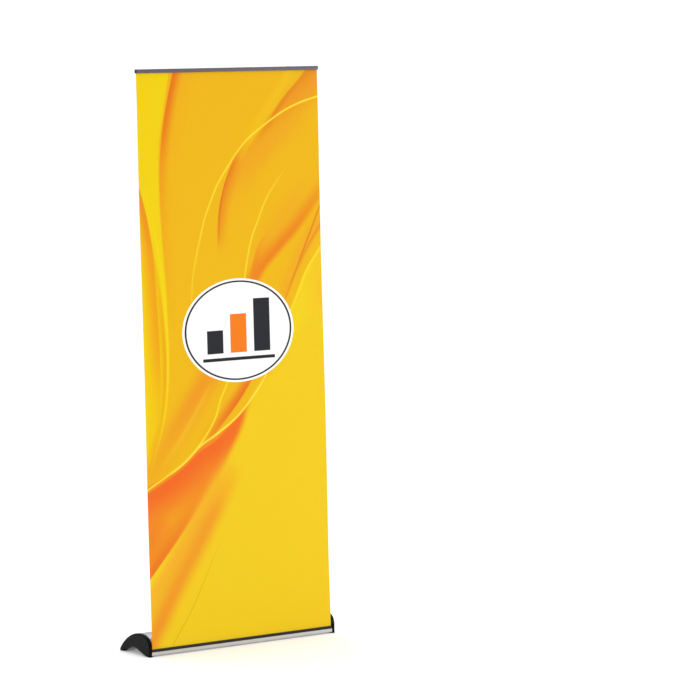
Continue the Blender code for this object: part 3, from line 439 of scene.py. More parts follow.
def offset_inward(points, distance):
    """Moves each point of an open clockwise run of points to the inside of the curve."""
    result = []
    for i, point in enumerate(points):
        before, after = points[max(i - 1, 0)], points[min(i + 1, len(points) - 1)]
        along = Vector((after[0] - before[0], after[1] - before[1])).normalized()
        result.append((point[0] + along.y * distance, point[1] - along.x * distance))
    return result


def height_at(points, back):
    """Height of a run of points at this distance back."""
    for near, far in zip(points, points[1:]):
        low, high = sorted((near[0], far[0]))
        if low <= back <= high and high > low:
            return near[1] + (back - near[0]) / (far[0] - near[0]) * (far[1] - near[1])
    return points[-1][1]


def between(points, low, high):
    """The part of a run of points between two distances back, with a point at each of them."""
    inner = [p for p in points if low < p[0] < high]
    first, last = (low, high) if points[0][0] < points[-1][0] else (high, low)
    return [(first, height_at(points, first))] + inner + [(last, height_at(points, last))]


LIP_FRONT = 1.2 * MM
LIP_BACK = 4.4 * MM
LIP_BOTTOM = 5 * MM
LIP_TOP = 17 * MM
SLOT_LIP = (7 * MM, 31.6 * MM)


def casing_top(depth, line_depth=0.0):
    """Upper skin of the casing, this deep inside its outer face.

    The line depth sinks the fine lines that run along the front and the back of the extrusion.
    """
    crest = BASE_HEIGHT - CASING_PROUD
    back, bottom = SLOT_LIP
    front = bezier(SLOT_LIP, (back, bottom + 0.58 * (crest - bottom)),
                   (back + 0.32 * (CREST_BACK - back), crest), (CREST_BACK, crest), 40)
    skin = offset_inward(front + offset_inward(back_curve(60), CASING_PROUD), depth)
    sunk = []
    for point in skin:
        on_line = min(abs(point[0] - at) for at in FINE_LINES) < FINE_LINE_HALF
        sunk.append((point[0], point[1] - line_depth * on_line))
    return sunk


def casing_floor(depth):
    """Lower skin of the casing, this high above its underside, from the toe to the front lip."""
    run = [(BASE_DEPTH - 5 * MM, LEAST_RISE)]
    for back, height in arch_curve(24):
        level = max(height + CASING_RISE, LEAST_RISE)
        run.append((back, max(level, LIP_BOTTOM) if back < ARCH_BACK else level))
    run.append((LIP_FRONT, LIP_BOTTOM))
    return [(back, height + depth) for back, height in run]


# The webs between the casing's hollows, and where its solid nose starts.
WEB_BACK = 75.2 * MM
REAR_WEB_BACK = 130.75 * MM
NOSE_DEPTH = 16 * MM


def casing_outline():
    """Casing section in one run: the roller chamber is open to the front through the slot."""
    groove_front, groove_back, groove_floor = 2.2 * MM, 3.4 * MM, LIP_TOP - 3 * MM
    lip = [(LIP_FRONT, LIP_BOTTOM), (LIP_FRONT, LIP_TOP), (groove_front, LIP_TOP),
           (groove_front, groove_floor), (groove_back, groove_floor), (groove_back, LIP_TOP),
           (LIP_BACK, LIP_TOP)]
    chamber_floor = between(casing_floor(CASING_WALL), LIP_BACK, WEB_BACK)[::-1]
    skin = casing_top(CASING_WALL)
    chamber_roof = between(skin, skin[0][0] + 0.01 * MM, WEB_BACK)[::-1]
    slot_edge = [(chamber_roof[-1][0], SLOT_LIP[1])]
    outside = casing_top(0, FINE_LINE_DEPTH)
    nose = [(outside[-1][0] - 0.5 * MM, 3.4 * MM)]
    underside = casing_floor(0)[:-1]
    run = lip + chamber_floor + chamber_roof[:-1] + slot_edge + outside + nose + underside
    return eased(run, 0.35 * MM, 3, 40)


def cavity(low, high):
    """Outline of the hollow between two webs, from its front to its back."""
    floor = between(casing_floor(CASING_WALL), low, high)
    return eased(between(casing_top(CASING_WALL), low, high) + floor, 1 * MM, 3, 40)


# ---------------------------------------------------------------- base pieces
# The pole's socket and its flange, and the screws' holes and heads.
SOCKET_REACH = 13.6 * MM
FLANGE_RADIUS = 23 * MM
FLANGE_THICKNESS = 3 * MM
FLANGE_GAP = 0.3 * MM
SCREW_HOLE = 1.8 * MM
SCREW_HEAD = 2.5 * MM


def socket_slope():
    """Slope of the casing's skin under the pole's socket, and its height there."""
    skin = casing_top(0)
    back = POLE_AXIS.y - FRONT
    reach = FLANGE_RADIUS / 2
    rise = height_at(skin, back + reach) - height_at(skin, back - reach)
    return math.atan2(rise, 2 * reach), height_at(skin, back)


def on_slope(height_above):
    """Place on the casing's slope under the pole, with its Z out of the skin."""
    slope, skin_height = socket_slope()
    place = Matrix.Translation(Vector((0, POLE_AXIS.y, skin_height)))
    return place @ Matrix.Rotation(slope, 4, "X") @ Matrix.Translation(Vector((0, 0, height_above)))


def make_casing():
    """Hollow extrusion with the pole's opening above and the cap screws' holes below."""
    cavities = [cavity(WEB_BACK + CASING_WALL, REAR_WEB_BACK),
                cavity(REAR_WEB_BACK + CASING_WALL, BASE_DEPTH - NOSE_DEPTH)]
    half = CAP_INNER - 0.3 * MM
    casing = new_object("casing_extrusion", prism(casing_outline(), -half, half, cavities))
    opening = rod(SOCKET_REACH + 0.7 * MM, BASE_HEIGHT / 2, BASE_HEIGHT + 10 * MM, "Z")
    combine(casing, moved(opening, POLE_AXIS))
    for node in CAP_SCREWS:
        hole = rod(SCREW_HOLE, 0, 16 * MM, "Z", 24)
        combine(casing, moved(hole, middle_of(node) * Vector((1, 1, 0))))
    finish_piece(casing, ALUMINIUM_CASING, "base", "silver_aluminium", "base_casing", sharp=28)


def make_slot_parts():
    """Rubber wiper in the lip's groove, and the bead under the shoulder above it."""
    low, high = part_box("slot_seal")
    front, back = low.y - FRONT, high.y - FRONT
    foot, top = LIP_TOP + 0.3 * MM, high.z
    root_front, root_back = 2.5 * MM, 3.1 * MM
    outline = [(front, foot), (root_front, foot), (root_front, low.z), (root_back, low.z), (root_back, foot),
               (back, foot), *around(back, top, (0, -1.2), (-0.7, 0)),
               *around(front, top, (0.9, 0), (0, -1.4))]
    for drop in (3, 6):
        outline += around(front, top, (0, 0.5 - drop), (0.35, -drop), (0, -0.5 - drop))
    seal = new_object("slot_seal_strip", prism(eased(outline, 0.3 * MM, 3), low.x, high.x))
    finish_piece(seal, RUBBER_SEAL, "base", "seal_rubber", "slot_seal")
    low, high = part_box("slot_bead")
    radius = (high.z - low.z) / 2
    centre = middle_of("slot_bead")
    ends = [(0, low.x), (radius * 0.7, low.x), (radius, low.x + 0.4 * MM), (radius, high.x - 0.4 * MM),
            (radius * 0.7, high.x), (0, high.x)]
    bead = new_object("slot_bead_strip", moved(turned(ends, "X", 28), (0, centre.y, centre.z)))
    finish_piece(bead, ABS_SATIN, "base", "satin_black", "slot_bead")


def cap_outline():
    """Closed outline of an end cap, from its shoulder over the top and back below."""
    rise = BASE_HEIGHT - SHOULDER
    front = bezier((0, SHOULDER), (0, SHOULDER + 0.66 * rise), (CREST_BACK / 3, BASE_HEIGHT),
                   (CREST_BACK, BASE_HEIGHT), 32)
    toe = around(BASE_DEPTH, 0, (-0.2, 4.6), (-0.9, 2.2), (-2.4, 0.7), (-5, 0), (-12, 0), (-18, 0))
    heel = around(ARCH_REAR, 0, (3, 0), (1.4, 0.1))
    foot = around(ARCH_FRONT, 0, (-1, 0.15), (-2.2, 0))
    foot += around(0, 0, (9, 0), (5, 0), (2, 0), (0.6, 0.6), (0, 2), (0, 6), (0, 11), (0, 17), (0, 24))
    return front + back_curve(48) + toe + heel + arch_curve(26) + foot


def smooth_share(value, low, high):
    """0 up to the low value and 1 from the high one, with a soft S between."""
    share = min(max((value - low) / (high - low), 0), 1)
    return share * share * (3 - 2 * share)


def cap_roll(back, height):
    """Radius of a cap's outer edge: small at the front foot, large under the arch, medium on top."""
    top_roll, foot_roll, arch_roll = 5 * MM, 3 * MM, 11 * MM
    under = height < ARCH_HEIGHT + 0.1 * MM and 1 * MM < back < BASE_DEPTH - 2 * MM
    if not under or (height > TOE_HEIGHT + 1 * MM and back > BASE_DEPTH - 10 * MM):
        return top_roll
    toe = min(max((BASE_DEPTH - 6 * MM - back) / (18 * MM), 0), 1)
    return foot_roll + (arch_roll - foot_roll) * smooth_share(back, 30 * MM, 90 * MM) * toe


def cap_rings(side):
    """Rings of an end cap: straight from the casing, then rolled over towards its outer face."""
    steps, smoothings = 14, 6
    outline = cap_outline()
    count = len(outline)
    radii = [cap_roll(*point) for point in outline]
    for _ in range(smoothings):
        radii = [(radii[i - 1] + 2 * radii[i] + radii[(i + 1) % count]) / 4 for i in range(count)]
    rings = [[(side * CAP_INNER, FRONT + back, height) for back, height in outline]]
    for step in range(steps + 1):
        angle = math.pi / 2 * step / steps
        shrink = 1 - math.cos(angle)
        ring = []
        for i, (back, height) in enumerate(outline):
            before, after = outline[i - 1], outline[(i + 1) % count]
            along = Vector((after[0] - before[0], after[1] - before[1])).normalized()
            inset = radii[i] * shrink
            # The front foot and the toe stay on the ground, so their edges draw in towards it.
            if back < ARCH_FRONT - 1.5 * MM and height < 20 * MM:
                spot = (max(back, 5 * MM * shrink), max(height, 3 * MM * shrink))
            elif back > BASE_DEPTH - 19 * MM and height < TOE_HEIGHT + 0.1 * MM:
                limit = BASE_DEPTH - 5.2 * MM * shrink - 0.2 * max(height, 0)
                spot = (min(back, limit), max(height - 0.2 * inset, 3 * MM * shrink))
            else:
                spot = (back + along.y * inset, height - along.x * inset)
            x = CAP_OUTER - radii[i] * (1 - math.sin(angle))
            ring.append((side * x, FRONT + spot[0], spot[1]))
        rings.append(ring)
    return rings


def make_cap(side, label):
    """End cap with its two screw spigots, and the idler's hole or the adjuster's stepped recess."""
    cap = new_object("end_cap_moulding_" + label, loft(cap_rings(side)))
    floor = casing_floor(CASING_WALL)
    half = 6 * MM
    xs = sorted((side * (CAP_INNER - 12 * MM), side * (CAP_INNER + 2 * MM)))
    for place, tall in (("front", 5 * MM), ("rear", 15 * MM)):
        node = "cap_screw_" + label + "_" + place
        screw = middle_of(node)
        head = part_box(node)[0].z + SCREW_HEAD
        ground = [height_at(floor, screw.y - FRONT + reach) for reach in (-half, half)]
        low = max(*ground, head) + 0.6 * MM
        spigot = rounded_block((xs[0], screw.y - half, low), (xs[1], screw.y + half, low + tall), 1 * MM)
        combine(cap, spigot, "UNION")
        hole = rod(SCREW_HOLE, low - 1 * MM, low + tall - 1 * MM, "Z", 24)
        combine(cap, moved(hole, (screw.x, screw.y, 0)))
    if side < 0:
        bore = rod(6.8 * MM, -CAP_INNER - 8 * MM, -CAP_INNER + 1 * MM)
    else:
        low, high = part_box("tension_adjuster")
        wide = (high.z - low.z) / 2 + 0.3 * MM
        shaft, seat = 8.3 * MM, high.x - 2.7 * MM
        bore = turned([(0, CAP_INNER - 1 * MM), (shaft, CAP_INNER - 1 * MM), (shaft, seat), (wide, seat),
                       *around(wide, CAP_OUTER, (0, -0.7), (0.9, 0.2), (0.9, 1)), (0, CAP_OUTER + 1 * MM)],
                      "X", 96)
    combine(cap, moved(bore, ROLLER_AXIS))
    finish_piece(cap, ABS_GLOSS, "base", "gloss_black", "end_cap_" + label)


def make_socket():
    """Moulded cup that the pole stands in, with a screwed flange and eight gussets."""
    low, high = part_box("pole_socket")
    bore = SOCKET_REACH - 2.2 * MM
    outer = bore + 2.6 * MM
    cup = [(0, low.z + 0.8 * MM), *around(outer, low.z, (-1.5, 0), (0, 1.5)),
           *around(outer, high.z, (0, -1.2), (-0.4, -0.3), (-1.2, 0)), (0, high.z)]
    socket = new_object("pole_socket_moulding", moved(turned(cup, "Z", 72), POLE_AXIS))
    flange = [(0, 0), *around(FLANGE_RADIUS, 0, (-0.4, 0), (0, 0.5), (-0.3, 2.2)),
              (FLANGE_RADIUS - 1.3 * MM, FLANGE_THICKNESS), (0, FLANGE_THICKNESS)]
    combine(socket, placed(turned(flange, "Z", 72), on_slope(FLANGE_GAP)), "UNION")
    side_view = around(outer, 0, (-1, 2), (4.6, 2), (4.2, 3.6), (-1, 7.5))
    gussets = 8
    for k in range(gussets):
        gusset = loft([[(r, width, h) for r, h in side_view] for width in (-0.6 * MM, 0.6 * MM)])
        turn = Matrix.Rotation(2 * math.pi * (k + 0.5) / gussets, 4, "Z")
        combine(socket, placed(gusset, on_slope(FLANGE_GAP) @ turn), "UNION")
    combine(socket, moved(rod(bore, low.z + 2.6 * MM, high.z + 20 * MM, "Z", 72), POLE_AXIS))
    finish_piece(socket, ABS_SATIN, "base", "satin_black", "pole_socket")


# ---------------------------------------------------------------- pieces grown by geometry nodes
def new_tree(name, **inputs):
    """Geometry tree with named inputs, its first and last sockets being geometry."""
    tree = bpy.data.node_groups.new(name, "GeometryNodeTree")
    tree.interface.new_socket("Geometry", in_out="INPUT", socket_type="NodeSocketGeometry")
    for label, kind in inputs.items():
        tree.interface.new_socket(label, in_out="INPUT", socket_type="NodeSocket" + kind)
    tree.interface.new_socket("Geometry", in_out="OUTPUT", socket_type="NodeSocketGeometry")
    source = tree.nodes.new("NodeGroupInput").outputs
    return tree, source


def close_tree(tree, source, geometry):
    """Ends a tree in Realize Instances and Set Material."""
    real = add(tree, "GeometryNodeRealizeInstances", Geometry=geometry)
    painted = add(tree, "GeometryNodeSetMaterial", Geometry=real.outputs[0], Material=source["Material"])
    add(tree, "NodeGroupOutput", in_0=painted.outputs[0])
    return tree


def grow(obj, tree, **values):
    """Runs a tree on the object with these inputs and keeps the result as its plain mesh."""
    modifier = obj.modifiers.new(tree.name, "NODES")
    modifier.node_group = tree
    names = {item.name: item.identifier for item in tree.interface.items_tree if item.in_out == "INPUT"}
    for label, value in values.items():
        modifier[names[label]] = value
    settle(obj)


def ribs_tree():
    """Half-round ribs that stand round a ring."""
    tree, source = new_tree("ribs_round_a_ring", Count="Int", Radius="Float", Length="Float", Width="Float",
                            Centre="Vector", Material="Material")
    ring = add(tree, "GeometryNodeMeshCircle", Vertices=source["Count"], Radius=source["Radius"])
    set_out = add(tree, "GeometryNodeTransform", Geometry=ring.outputs[0], Translation=source["Centre"])
    half = add(tree, "ShaderNodeMath", {"operation": "MULTIPLY"}, in_0=source["Width"], in_1=0.5)
    rib = add(tree, "GeometryNodeMeshCylinder", Vertices=12, Radius=half.outputs[0], Depth=source["Length"])
    copies = add(tree, "GeometryNodeInstanceOnPoints", Points=set_out.outputs[0], Instance=rib.outputs[0])
    both = add(tree, "GeometryNodeJoinGeometry", in_0=source["Geometry"])
    tree.links.new(copies.outputs[0], both.inputs[0])
    return close_tree(tree, source, both.outputs[0])


def bars_tree():
    """Bars of one size set in a row, as the treads under a rubber foot."""
    tree, source = new_tree("bars_in_a_row", Count="Int", Start="Vector", Step="Vector", Size="Vector",
                            Material="Material")
    row = add(tree, "GeometryNodeMeshLine", Count=source["Count"], Start_Location=source["Start"],
              Offset=source["Step"])
    bar = add(tree, "GeometryNodeMeshCube", Size=source["Size"])
    copies = add(tree, "GeometryNodeInstanceOnPoints", Points=row.outputs[0], Instance=bar.outputs[0])
    both = add(tree, "GeometryNodeJoinGeometry", in_0=source["Geometry"])
    tree.links.new(copies.outputs[0], both.inputs[0])
    return close_tree(tree, source, both.outputs[0])


def screws_tree():
    """The same screw at every point, turned by the point's own attribute."""
    tree, source = new_tree("screws_on_points", Screw="Object", Scale="Float", Material="Material")
    screw = add(tree, "GeometryNodeObjectInfo", Object=source["Screw"])
    turn = add(tree, "GeometryNodeInputNamedAttribute", {"data_type": "FLOAT_VECTOR"}, Name="turn")
    copies = add(tree, "GeometryNodeInstanceOnPoints", Points=source["Geometry"],
                 Instance=screw.outputs["Geometry"], Rotation=turn.outputs[0], Scale=source["Scale"])
    return close_tree(tree, source, copies.outputs[0])


def coil_tree():
    """Round wire wound along X."""
    tree, source = new_tree("coil_along_x", Radius="Float", Wire="Float", Turns="Float", Length="Float",
                            Start="Vector", Material="Material")
    spiral = add(tree, "GeometryNodeCurveSpiral", Resolution=20, Rotations=source["Turns"],
                 Start_Radius=source["Radius"], End_Radius=source["Radius"], Height=source["Length"])
    laid = add(tree, "GeometryNodeTransform", Geometry=spiral.outputs[0], Translation=source["Start"],
               Rotation=(0, math.pi / 2, 0))
    wire = add(tree, "GeometryNodeCurvePrimitiveCircle", Resolution=8, Radius=source["Wire"])
    swept = add(tree, "GeometryNodeCurveToMesh", Curve=laid.outputs[0], Profile_Curve=wire.outputs[0],
                Fill_Caps=True)
    return close_tree(tree, source, swept.outputs[0])


RIBS = ribs_tree()
BARS = bars_tree()
SCREWS = screws_tree()
COIL = coil_tree()


def make_screw_master():
    """Pan-head screw with a cross recess and a threaded shank. Its head's outer face is at zero."""
    profile = around(0, 0, (0, 0), (1.4, 0.05), (2.2, 0.3), (2.75, 0.8), (3, 1.5), (3, 2.2), (1.5, 2.2))
    for turn in range(6):
        profile += around(0, (3 + turn) * MM, (1.2, 0), (1.5, 0.5))
    profile += around(0, 0, (0.5, 9.6), (0, 10))
    screw = new_object("screw_master", turned(profile, "Z", 32))
    recess_turn = 0.5
    for turn in (0, math.pi / 2):
        rings = []
        for half_long, half_wide, level in ((1.6, 0.35, -0.1), (0.6, 0.25, 1.5)):
            outline = rectangle((-half_long, -half_wide), (half_long, half_wide))
            rings.append([(x * MM, y * MM, level * MM) for x, y in outline])
        combine(screw, placed(loft(rings), Matrix.Rotation(turn + recess_turn, 4, "Z")))
    return screw


def make_screws():
    """All screws of the base as one piece, and the rail's two as another."""
    master = make_screw_master()
    spots = []
    for node in CAP_SCREWS:
        centre = middle_of(node)
        # Each of these screws is left at another turn.
        spots.append(((centre.x, centre.y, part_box(node)[0].z), (0, 0, 0.4 * len(spots))))
    socket_nodes = ["socket_screw_left", "socket_screw_right"]
    for node in socket_nodes:
        head = on_slope(FLANGE_THICKNESS + 2 * FLANGE_GAP + 2.2 * MM)
        spots.append((tuple(head @ Vector((middle_of(node).x, 0, 0))), (math.pi + socket_slope()[0], 0, 0)))
    rail_nodes = ["bracket_screw_left", "bracket_screw_right"]
    rail_spots = []
    for node in rail_nodes:
        centre = middle_of(node)
        rail_spots.append(((centre.x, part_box(node)[1].y, centre.z), (math.pi / 2, 0, 0)))
    for name, places, body, nodes in (("base_screws", spots, "base", CAP_SCREWS + socket_nodes),
                                      ("rail_screws", rail_spots, "rail", rail_nodes)):
        mesh = bpy.data.meshes.new(name)
        mesh.from_pydata([place for place, _ in places], [], [])
        turns = mesh.attributes.new("turn", "FLOAT_VECTOR", "POINT")
        turns.data.foreach_set("vector", [value for _, turn in places for value in turn])
        screws = linked(name, mesh)
        grow(screws, SCREWS, Screw=master, Scale=1.0, Material=STEEL_ZINC)
        finish_piece(screws, STEEL_ZINC, body, "steel", *nodes)
    bpy.data.objects.remove(master)


def make_feet():
    """Rubber pads with treads, in a row along X under the rear ones and along Y under the front ones."""
    height, share = 1 * MM, 0.55
    kinds = (("rear", 0, 9, 2.5 * MM, 1.5 * MM, 2.4 * MM), ("front", 1, 4, 1.5 * MM, 0.8 * MM, 1.4 * MM))
    for label in ("left", "right"):
        for place, along, count, end_gap, side_gap, corner in kinds:
            low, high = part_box(place + "_foot_" + label)
            pad = new_object(place + "_foot_pad_" + label,
                             rounded_block((low.x, low.y, low.z + 0.8 * MM), tuple(high), corner))
            pitch = (high[along] - low[along] - 2 * end_gap) / count
            start, step = [*(low + high) / 2], [0.0, 0.0, 0.0]
            size = [long - 2 * side_gap for long in high - low]
            start[along] = low[along] + end_gap + pitch / 2
            step[along] = pitch
            size[along] = pitch * share
            start[2], size[2] = height / 2, height
            grow(pad, BARS, Count=count, Start=start, Step=step, Size=size, Material=RUBBER_FOOT)
            finish_piece(pad, RUBBER_FOOT, "base", "foot_rubber", place + "_foot_" + label)


# ---------------------------------------------------------------- spring and adjuster of the roller
def make_adjuster():
    """Slotted disc flush in the right cap, on its shaft."""
    low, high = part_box("tension_adjuster")
    radius = (high.z - low.z) / 2
    face, step = high.x, high.x - 2.4 * MM
    shaft = 8 * MM
    profile = [(0, low.x), *around(shaft, low.x, (-0.5, 0), (0, 0.5)),
               *around(shaft, CAP_INNER, (0, -1.35), (-1, -1.35), (-1, -0.15), (0, -0.15)), (shaft, step),
               *around(radius, step, (-0.2, 0), (0, 0.2)),
               *around(radius, face, (0, -1.1), (-0.25, -0.5), (-0.75, -0.12), (-1.3, 0)), (0, face)]
    disc = new_object("adjuster_disc", turned(profile, "X", 128))
    half_long, half_wide, flare = 9.6 * MM, 1.0 * MM, 1.0 * MM
    rings = []
    for level, wider in ((-1.6 * MM, 0), (-0.9 * MM, 0), (0.05 * MM, flare), (1 * MM, flare)):
        long, wide = half_long + wider, half_wide + wider
        outline = eased(rectangle((-long, -wide), (long, wide)), wide * 0.6, 4)
        rings.append([(face + level, y, z) for y, z in outline])
    slot_turn = math.radians(-8)
    combine(disc, placed(loft(rings), Matrix.Rotation(slot_turn, 4, "X")))
    combine(disc, rod(4.3 * MM, low.x - 1 * MM, CAP_OUTER - 4.7 * MM))
    disc.data.transform(Matrix.Translation(ROLLER_AXIS))
    finish_piece(disc, ABS_GLOSS, "adjuster", "gloss_black", "tension_adjuster")


def make_spring():
    """Torsion spring inside the roller."""
    low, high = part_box("tension_spring")
    wire = 0.9 * MM
    spring = linked("tension_spring_wire", bpy.data.meshes.new("tension_spring_wire"))
    grow(spring, COIL, Radius=(high.z - low.z) / 2 - wire, Wire=wire, Turns=70.0,
         Length=high.x - low.x - 2 * wire, Start=(low.x + wire, ROLLER_AXIS.y, ROLLER_AXIS.z),
         Material=STEEL_SPRING)
    finish_piece(spring, STEEL_SPRING, "adjuster", "steel", "tension_spring", sharp=60)


# ---------------------------------------------------------------- pole
def make_tube(name, node, body):
    """Drawn tube with eased ends and a pair of rolled marks below its upper end."""
    low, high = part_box(node)
    outer = (high.x - low.x) / 2
    inner = outer - 1.2 * MM
    profile = around(inner, low.z, (0, 0.3), (0.3, 0)) + around(outer, low.z, (-0.3, 0), (0, 0.3))
    for drop in (90, 84):
        profile += around(outer, high.z - drop * MM, (0, 0), (-0.25, 0.5), (-0.25, 1), (0, 1.5))
    profile += around(outer, high.z, (0, -0.3), (-0.3, 0)) + around(inner, high.z, (0.3, 0), (0, -0.3))
    tube = new_object(name, moved(turned(profile, "Z", 72), POLE_AXIS))
    finish_piece(tube, ALUMINIUM_TUBE, body, "silver_aluminium", node)


def make_collar(name, node, body, outer_tube, inner_tube):
    """Twist-lock collar: a waisted grip with ribs, a ring groove and a tapered nose."""
    low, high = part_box(node)
    level = (low.z + high.z) / 2
    grip = 15 * MM
    bore, neck = outer_tube + 0.3 * MM, inner_tube + 0.3 * MM
    bush = neck + 2 * MM
    ring = [(bore, low.z),
            *around(grip, low.z, (-2.2, 0), (-1.1, 0.6), (-0.3, 2), (0, 3.4), (-0.25, 12), (-0.3, 17),
                    (-0.25, 22)),
            *around(grip, level, (0, 6.5), (0, 8), (-0.2, 8.4), (-0.9, 8.6), (-0.9, 9.8), (-0.2, 10),
                    (-0.1, 10.4), (-1.2, 18)),
            *around(grip, high.z, (-2.3, -1.2), (-3, -0.3), (-3.8, 0)), (neck, high.z),
            (neck, high.z - 3 * MM), (bush, high.z - 3 * MM), (bush, level + 0.3 * MM),
            (bore, level + 0.3 * MM)]
    collar = new_object(name, moved(turned(ring, "Z", 96), POLE_AXIS))
    grow(collar, RIBS, Count=18, Radius=grip - 0.5 * MM, Length=26 * MM, Width=2.4 * MM,
         Centre=(POLE_AXIS.x, POLE_AXIS.y, level - 7 * MM), Material=ABS_SATIN)
    finish_piece(collar, ABS_SATIN, body, "satin_black", node)


def make_pole():
    """Three tubes that slide in each other, with a lock collar at each joint."""
    tubes = (("lower", "base"), ("middle", "pole_middle"), ("upper", "pole_upper"))
    for place, body in tubes:
        make_tube("pole_tube_" + place, "pole_" + place, body)
    boxes = [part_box("pole_" + place) for place, _ in tubes]
    radii = [(high.x - low.x) / 2 for low, high in boxes]
    for i, place in enumerate(("lower", "upper")):
        make_collar("lock_collar_" + place, place + "_lock_collar", place + "_lock", radii[i], radii[i + 1])


# ---------------------------------------------------------------- top rail
RAIL_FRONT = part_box("top_rail")[0].y - FRONT
RAIL_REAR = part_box("top_rail")[1].y - FRONT
RAIL_BACK = (RAIL_FRONT + RAIL_REAR) / 2
GROOVE_LEVEL = (RAIL_BOTTOM + STAND_TOP) / 2 + 1 * MM


def rail_outline():
    """Rail section with a keyhole for the print's header below, and a groove behind."""
    outer = rectangle((RAIL_FRONT, RAIL_BOTTOM), (RAIL_REAR, STAND_TOP))
    keyhole = around(RAIL_BACK, RAIL_BOTTOM, (-0.9, 0), (-0.9, 4), (-2.6, 4), (-2.6, 8.4), (1.2, 8.4),
                     (1.2, 4), (0.9, 4), (0.9, 0))
    groove = around(RAIL_REAR, GROOVE_LEVEL, (0, -3), (-2.8, -3), (-2.8, 3), (0, 3))
    front_line = around(RAIL_FRONT, RAIL_BOTTOM, (0, 10.5), (0.25, 10.2), (0.25, 9.6), (0, 9.3))
    points = [outer[0], *keyhole, outer[1], *groove, outer[2], outer[3], *front_line]
    return eased(points, [1.6 * MM if point in outer else 0.2 * MM for point in points], 5)


def make_rail():
    """Extruded top rail with its two end caps."""
    low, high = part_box("top_rail")
    rail = new_object("top_rail_extrusion", prism(rail_outline(), low.x, high.x))
    finish_piece(rail, ALUMINIUM_RAIL, "rail", "graphite_aluminium", "top_rail")
    for side, label in ((-1, "left"), (1, "right")):
        low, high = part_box("rail_cap_" + label)
        near, far = (low.x, high.x) if side > 0 else (high.x, low.x)
        rings = []
        for share, inset in ((0, 0), (0.55, 0), (0.85, 0.25 * MM), (1, 0.8 * MM)):
            plate = rectangle((RAIL_FRONT, RAIL_BOTTOM), (RAIL_REAR, STAND_TOP), inset)
            rings.append([(near + (far - near) * share, FRONT + b, h) for b, h in eased(plate, 1.8 * MM, 6)])
        cap = new_object("rail_end_cap_" + label, loft(rings))
        finish_piece(cap, ABS_SATIN, "rail", "satin_black", "rail_cap_" + label)


def make_bracket():
    """Moulded bracket in the rail's rear groove, with a pocket for the tip of the pole."""
    low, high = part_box("rail_bracket")
    front = FRONT + RAIL_REAR + 0.3 * MM
    plate_low, plate_high = RAIL_BOTTOM + 0.7 * MM, STAND_TOP - 0.7 * MM
    rings = []
    for depth, inset in ((0, 0), (2.3 * MM, 0), (2.8 * MM, 0.2 * MM), (3 * MM, 0.6 * MM)):
        plate = eased(rectangle((low.x, plate_low), (high.x, plate_high), inset), 3 * MM, 6)
        rings.append([(x, front + depth, h) for x, h in plate])
    bracket = new_object("rail_bracket_moulding", loft(rings))
    tongue = rounded_block((low.x + 1 * MM, front - 2.8 * MM, GROOVE_LEVEL - 2.7 * MM),
                           (high.x - 1 * MM, front + 1 * MM, GROOVE_LEVEL + 2.7 * MM), 0.8 * MM)
    combine(bracket, tongue, "UNION")
    wall = high.y - POLE_AXIS.y
    ledge = max(front, POLE_AXIS.y - wall)
    steps = 16
    shape = [(-wall, ledge)]
    for k in range(steps + 1):
        angle = math.pi * (1 - k / steps)
        shape.append((wall * math.cos(angle), POLE_AXIS.y + wall * math.sin(angle)))
    shape.append((wall, ledge))
    boss_top = plate_high - 2 * MM
    rings = []
    for level, inset in ((low.z, 0.7 * MM), (low.z + 0.7 * MM, 0), (boss_top - 1.2 * MM, 0),
                         (boss_top - 0.3 * MM, 0.5 * MM), (boss_top, 1.2 * MM)):
        factor = (wall - inset) / wall
        rings.append([(x * factor, ledge + (y - ledge) * factor, level) for x, y in shape])
    combine(bracket, loft(rings), "UNION")
    pocket = rod(5.4 * MM, low.z - 5 * MM, low.z + 12.3 * MM, "Z")
    combine(bracket, moved(pocket, POLE_AXIS))
    for middle in (-12 * MM, 12 * MM):
        gusset = rounded_block((middle - 1 * MM, front + 1 * MM, plate_low + 1 * MM),
                               (middle + 1 * MM, front + 5.5 * MM, plate_high - 3 * MM), 0.7 * MM)
        combine(bracket, gusset, "UNION")
    finish_piece(bracket, ABS_SATIN, "rail", "satin_black", "rail_bracket")


# ---------------------------------------------------------------- print
PRINT_LOW, PRINT_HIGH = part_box("banner_print")
SEAL_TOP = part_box("slot_seal")[1].z
SHOWN_HEIGHT = RAIL_BOTTOM - SEAL_TOP
GRAPHIC_SIZE = np.array((2 * HALF_PRINT, SHOWN_HEIGHT))
# The film's thickness, how far its top leans back, and how far back it leaves the slot.
FILM = 0.5 * MM
LEAN = 83 * MM
PRINT_BACK = 5.25 * MM

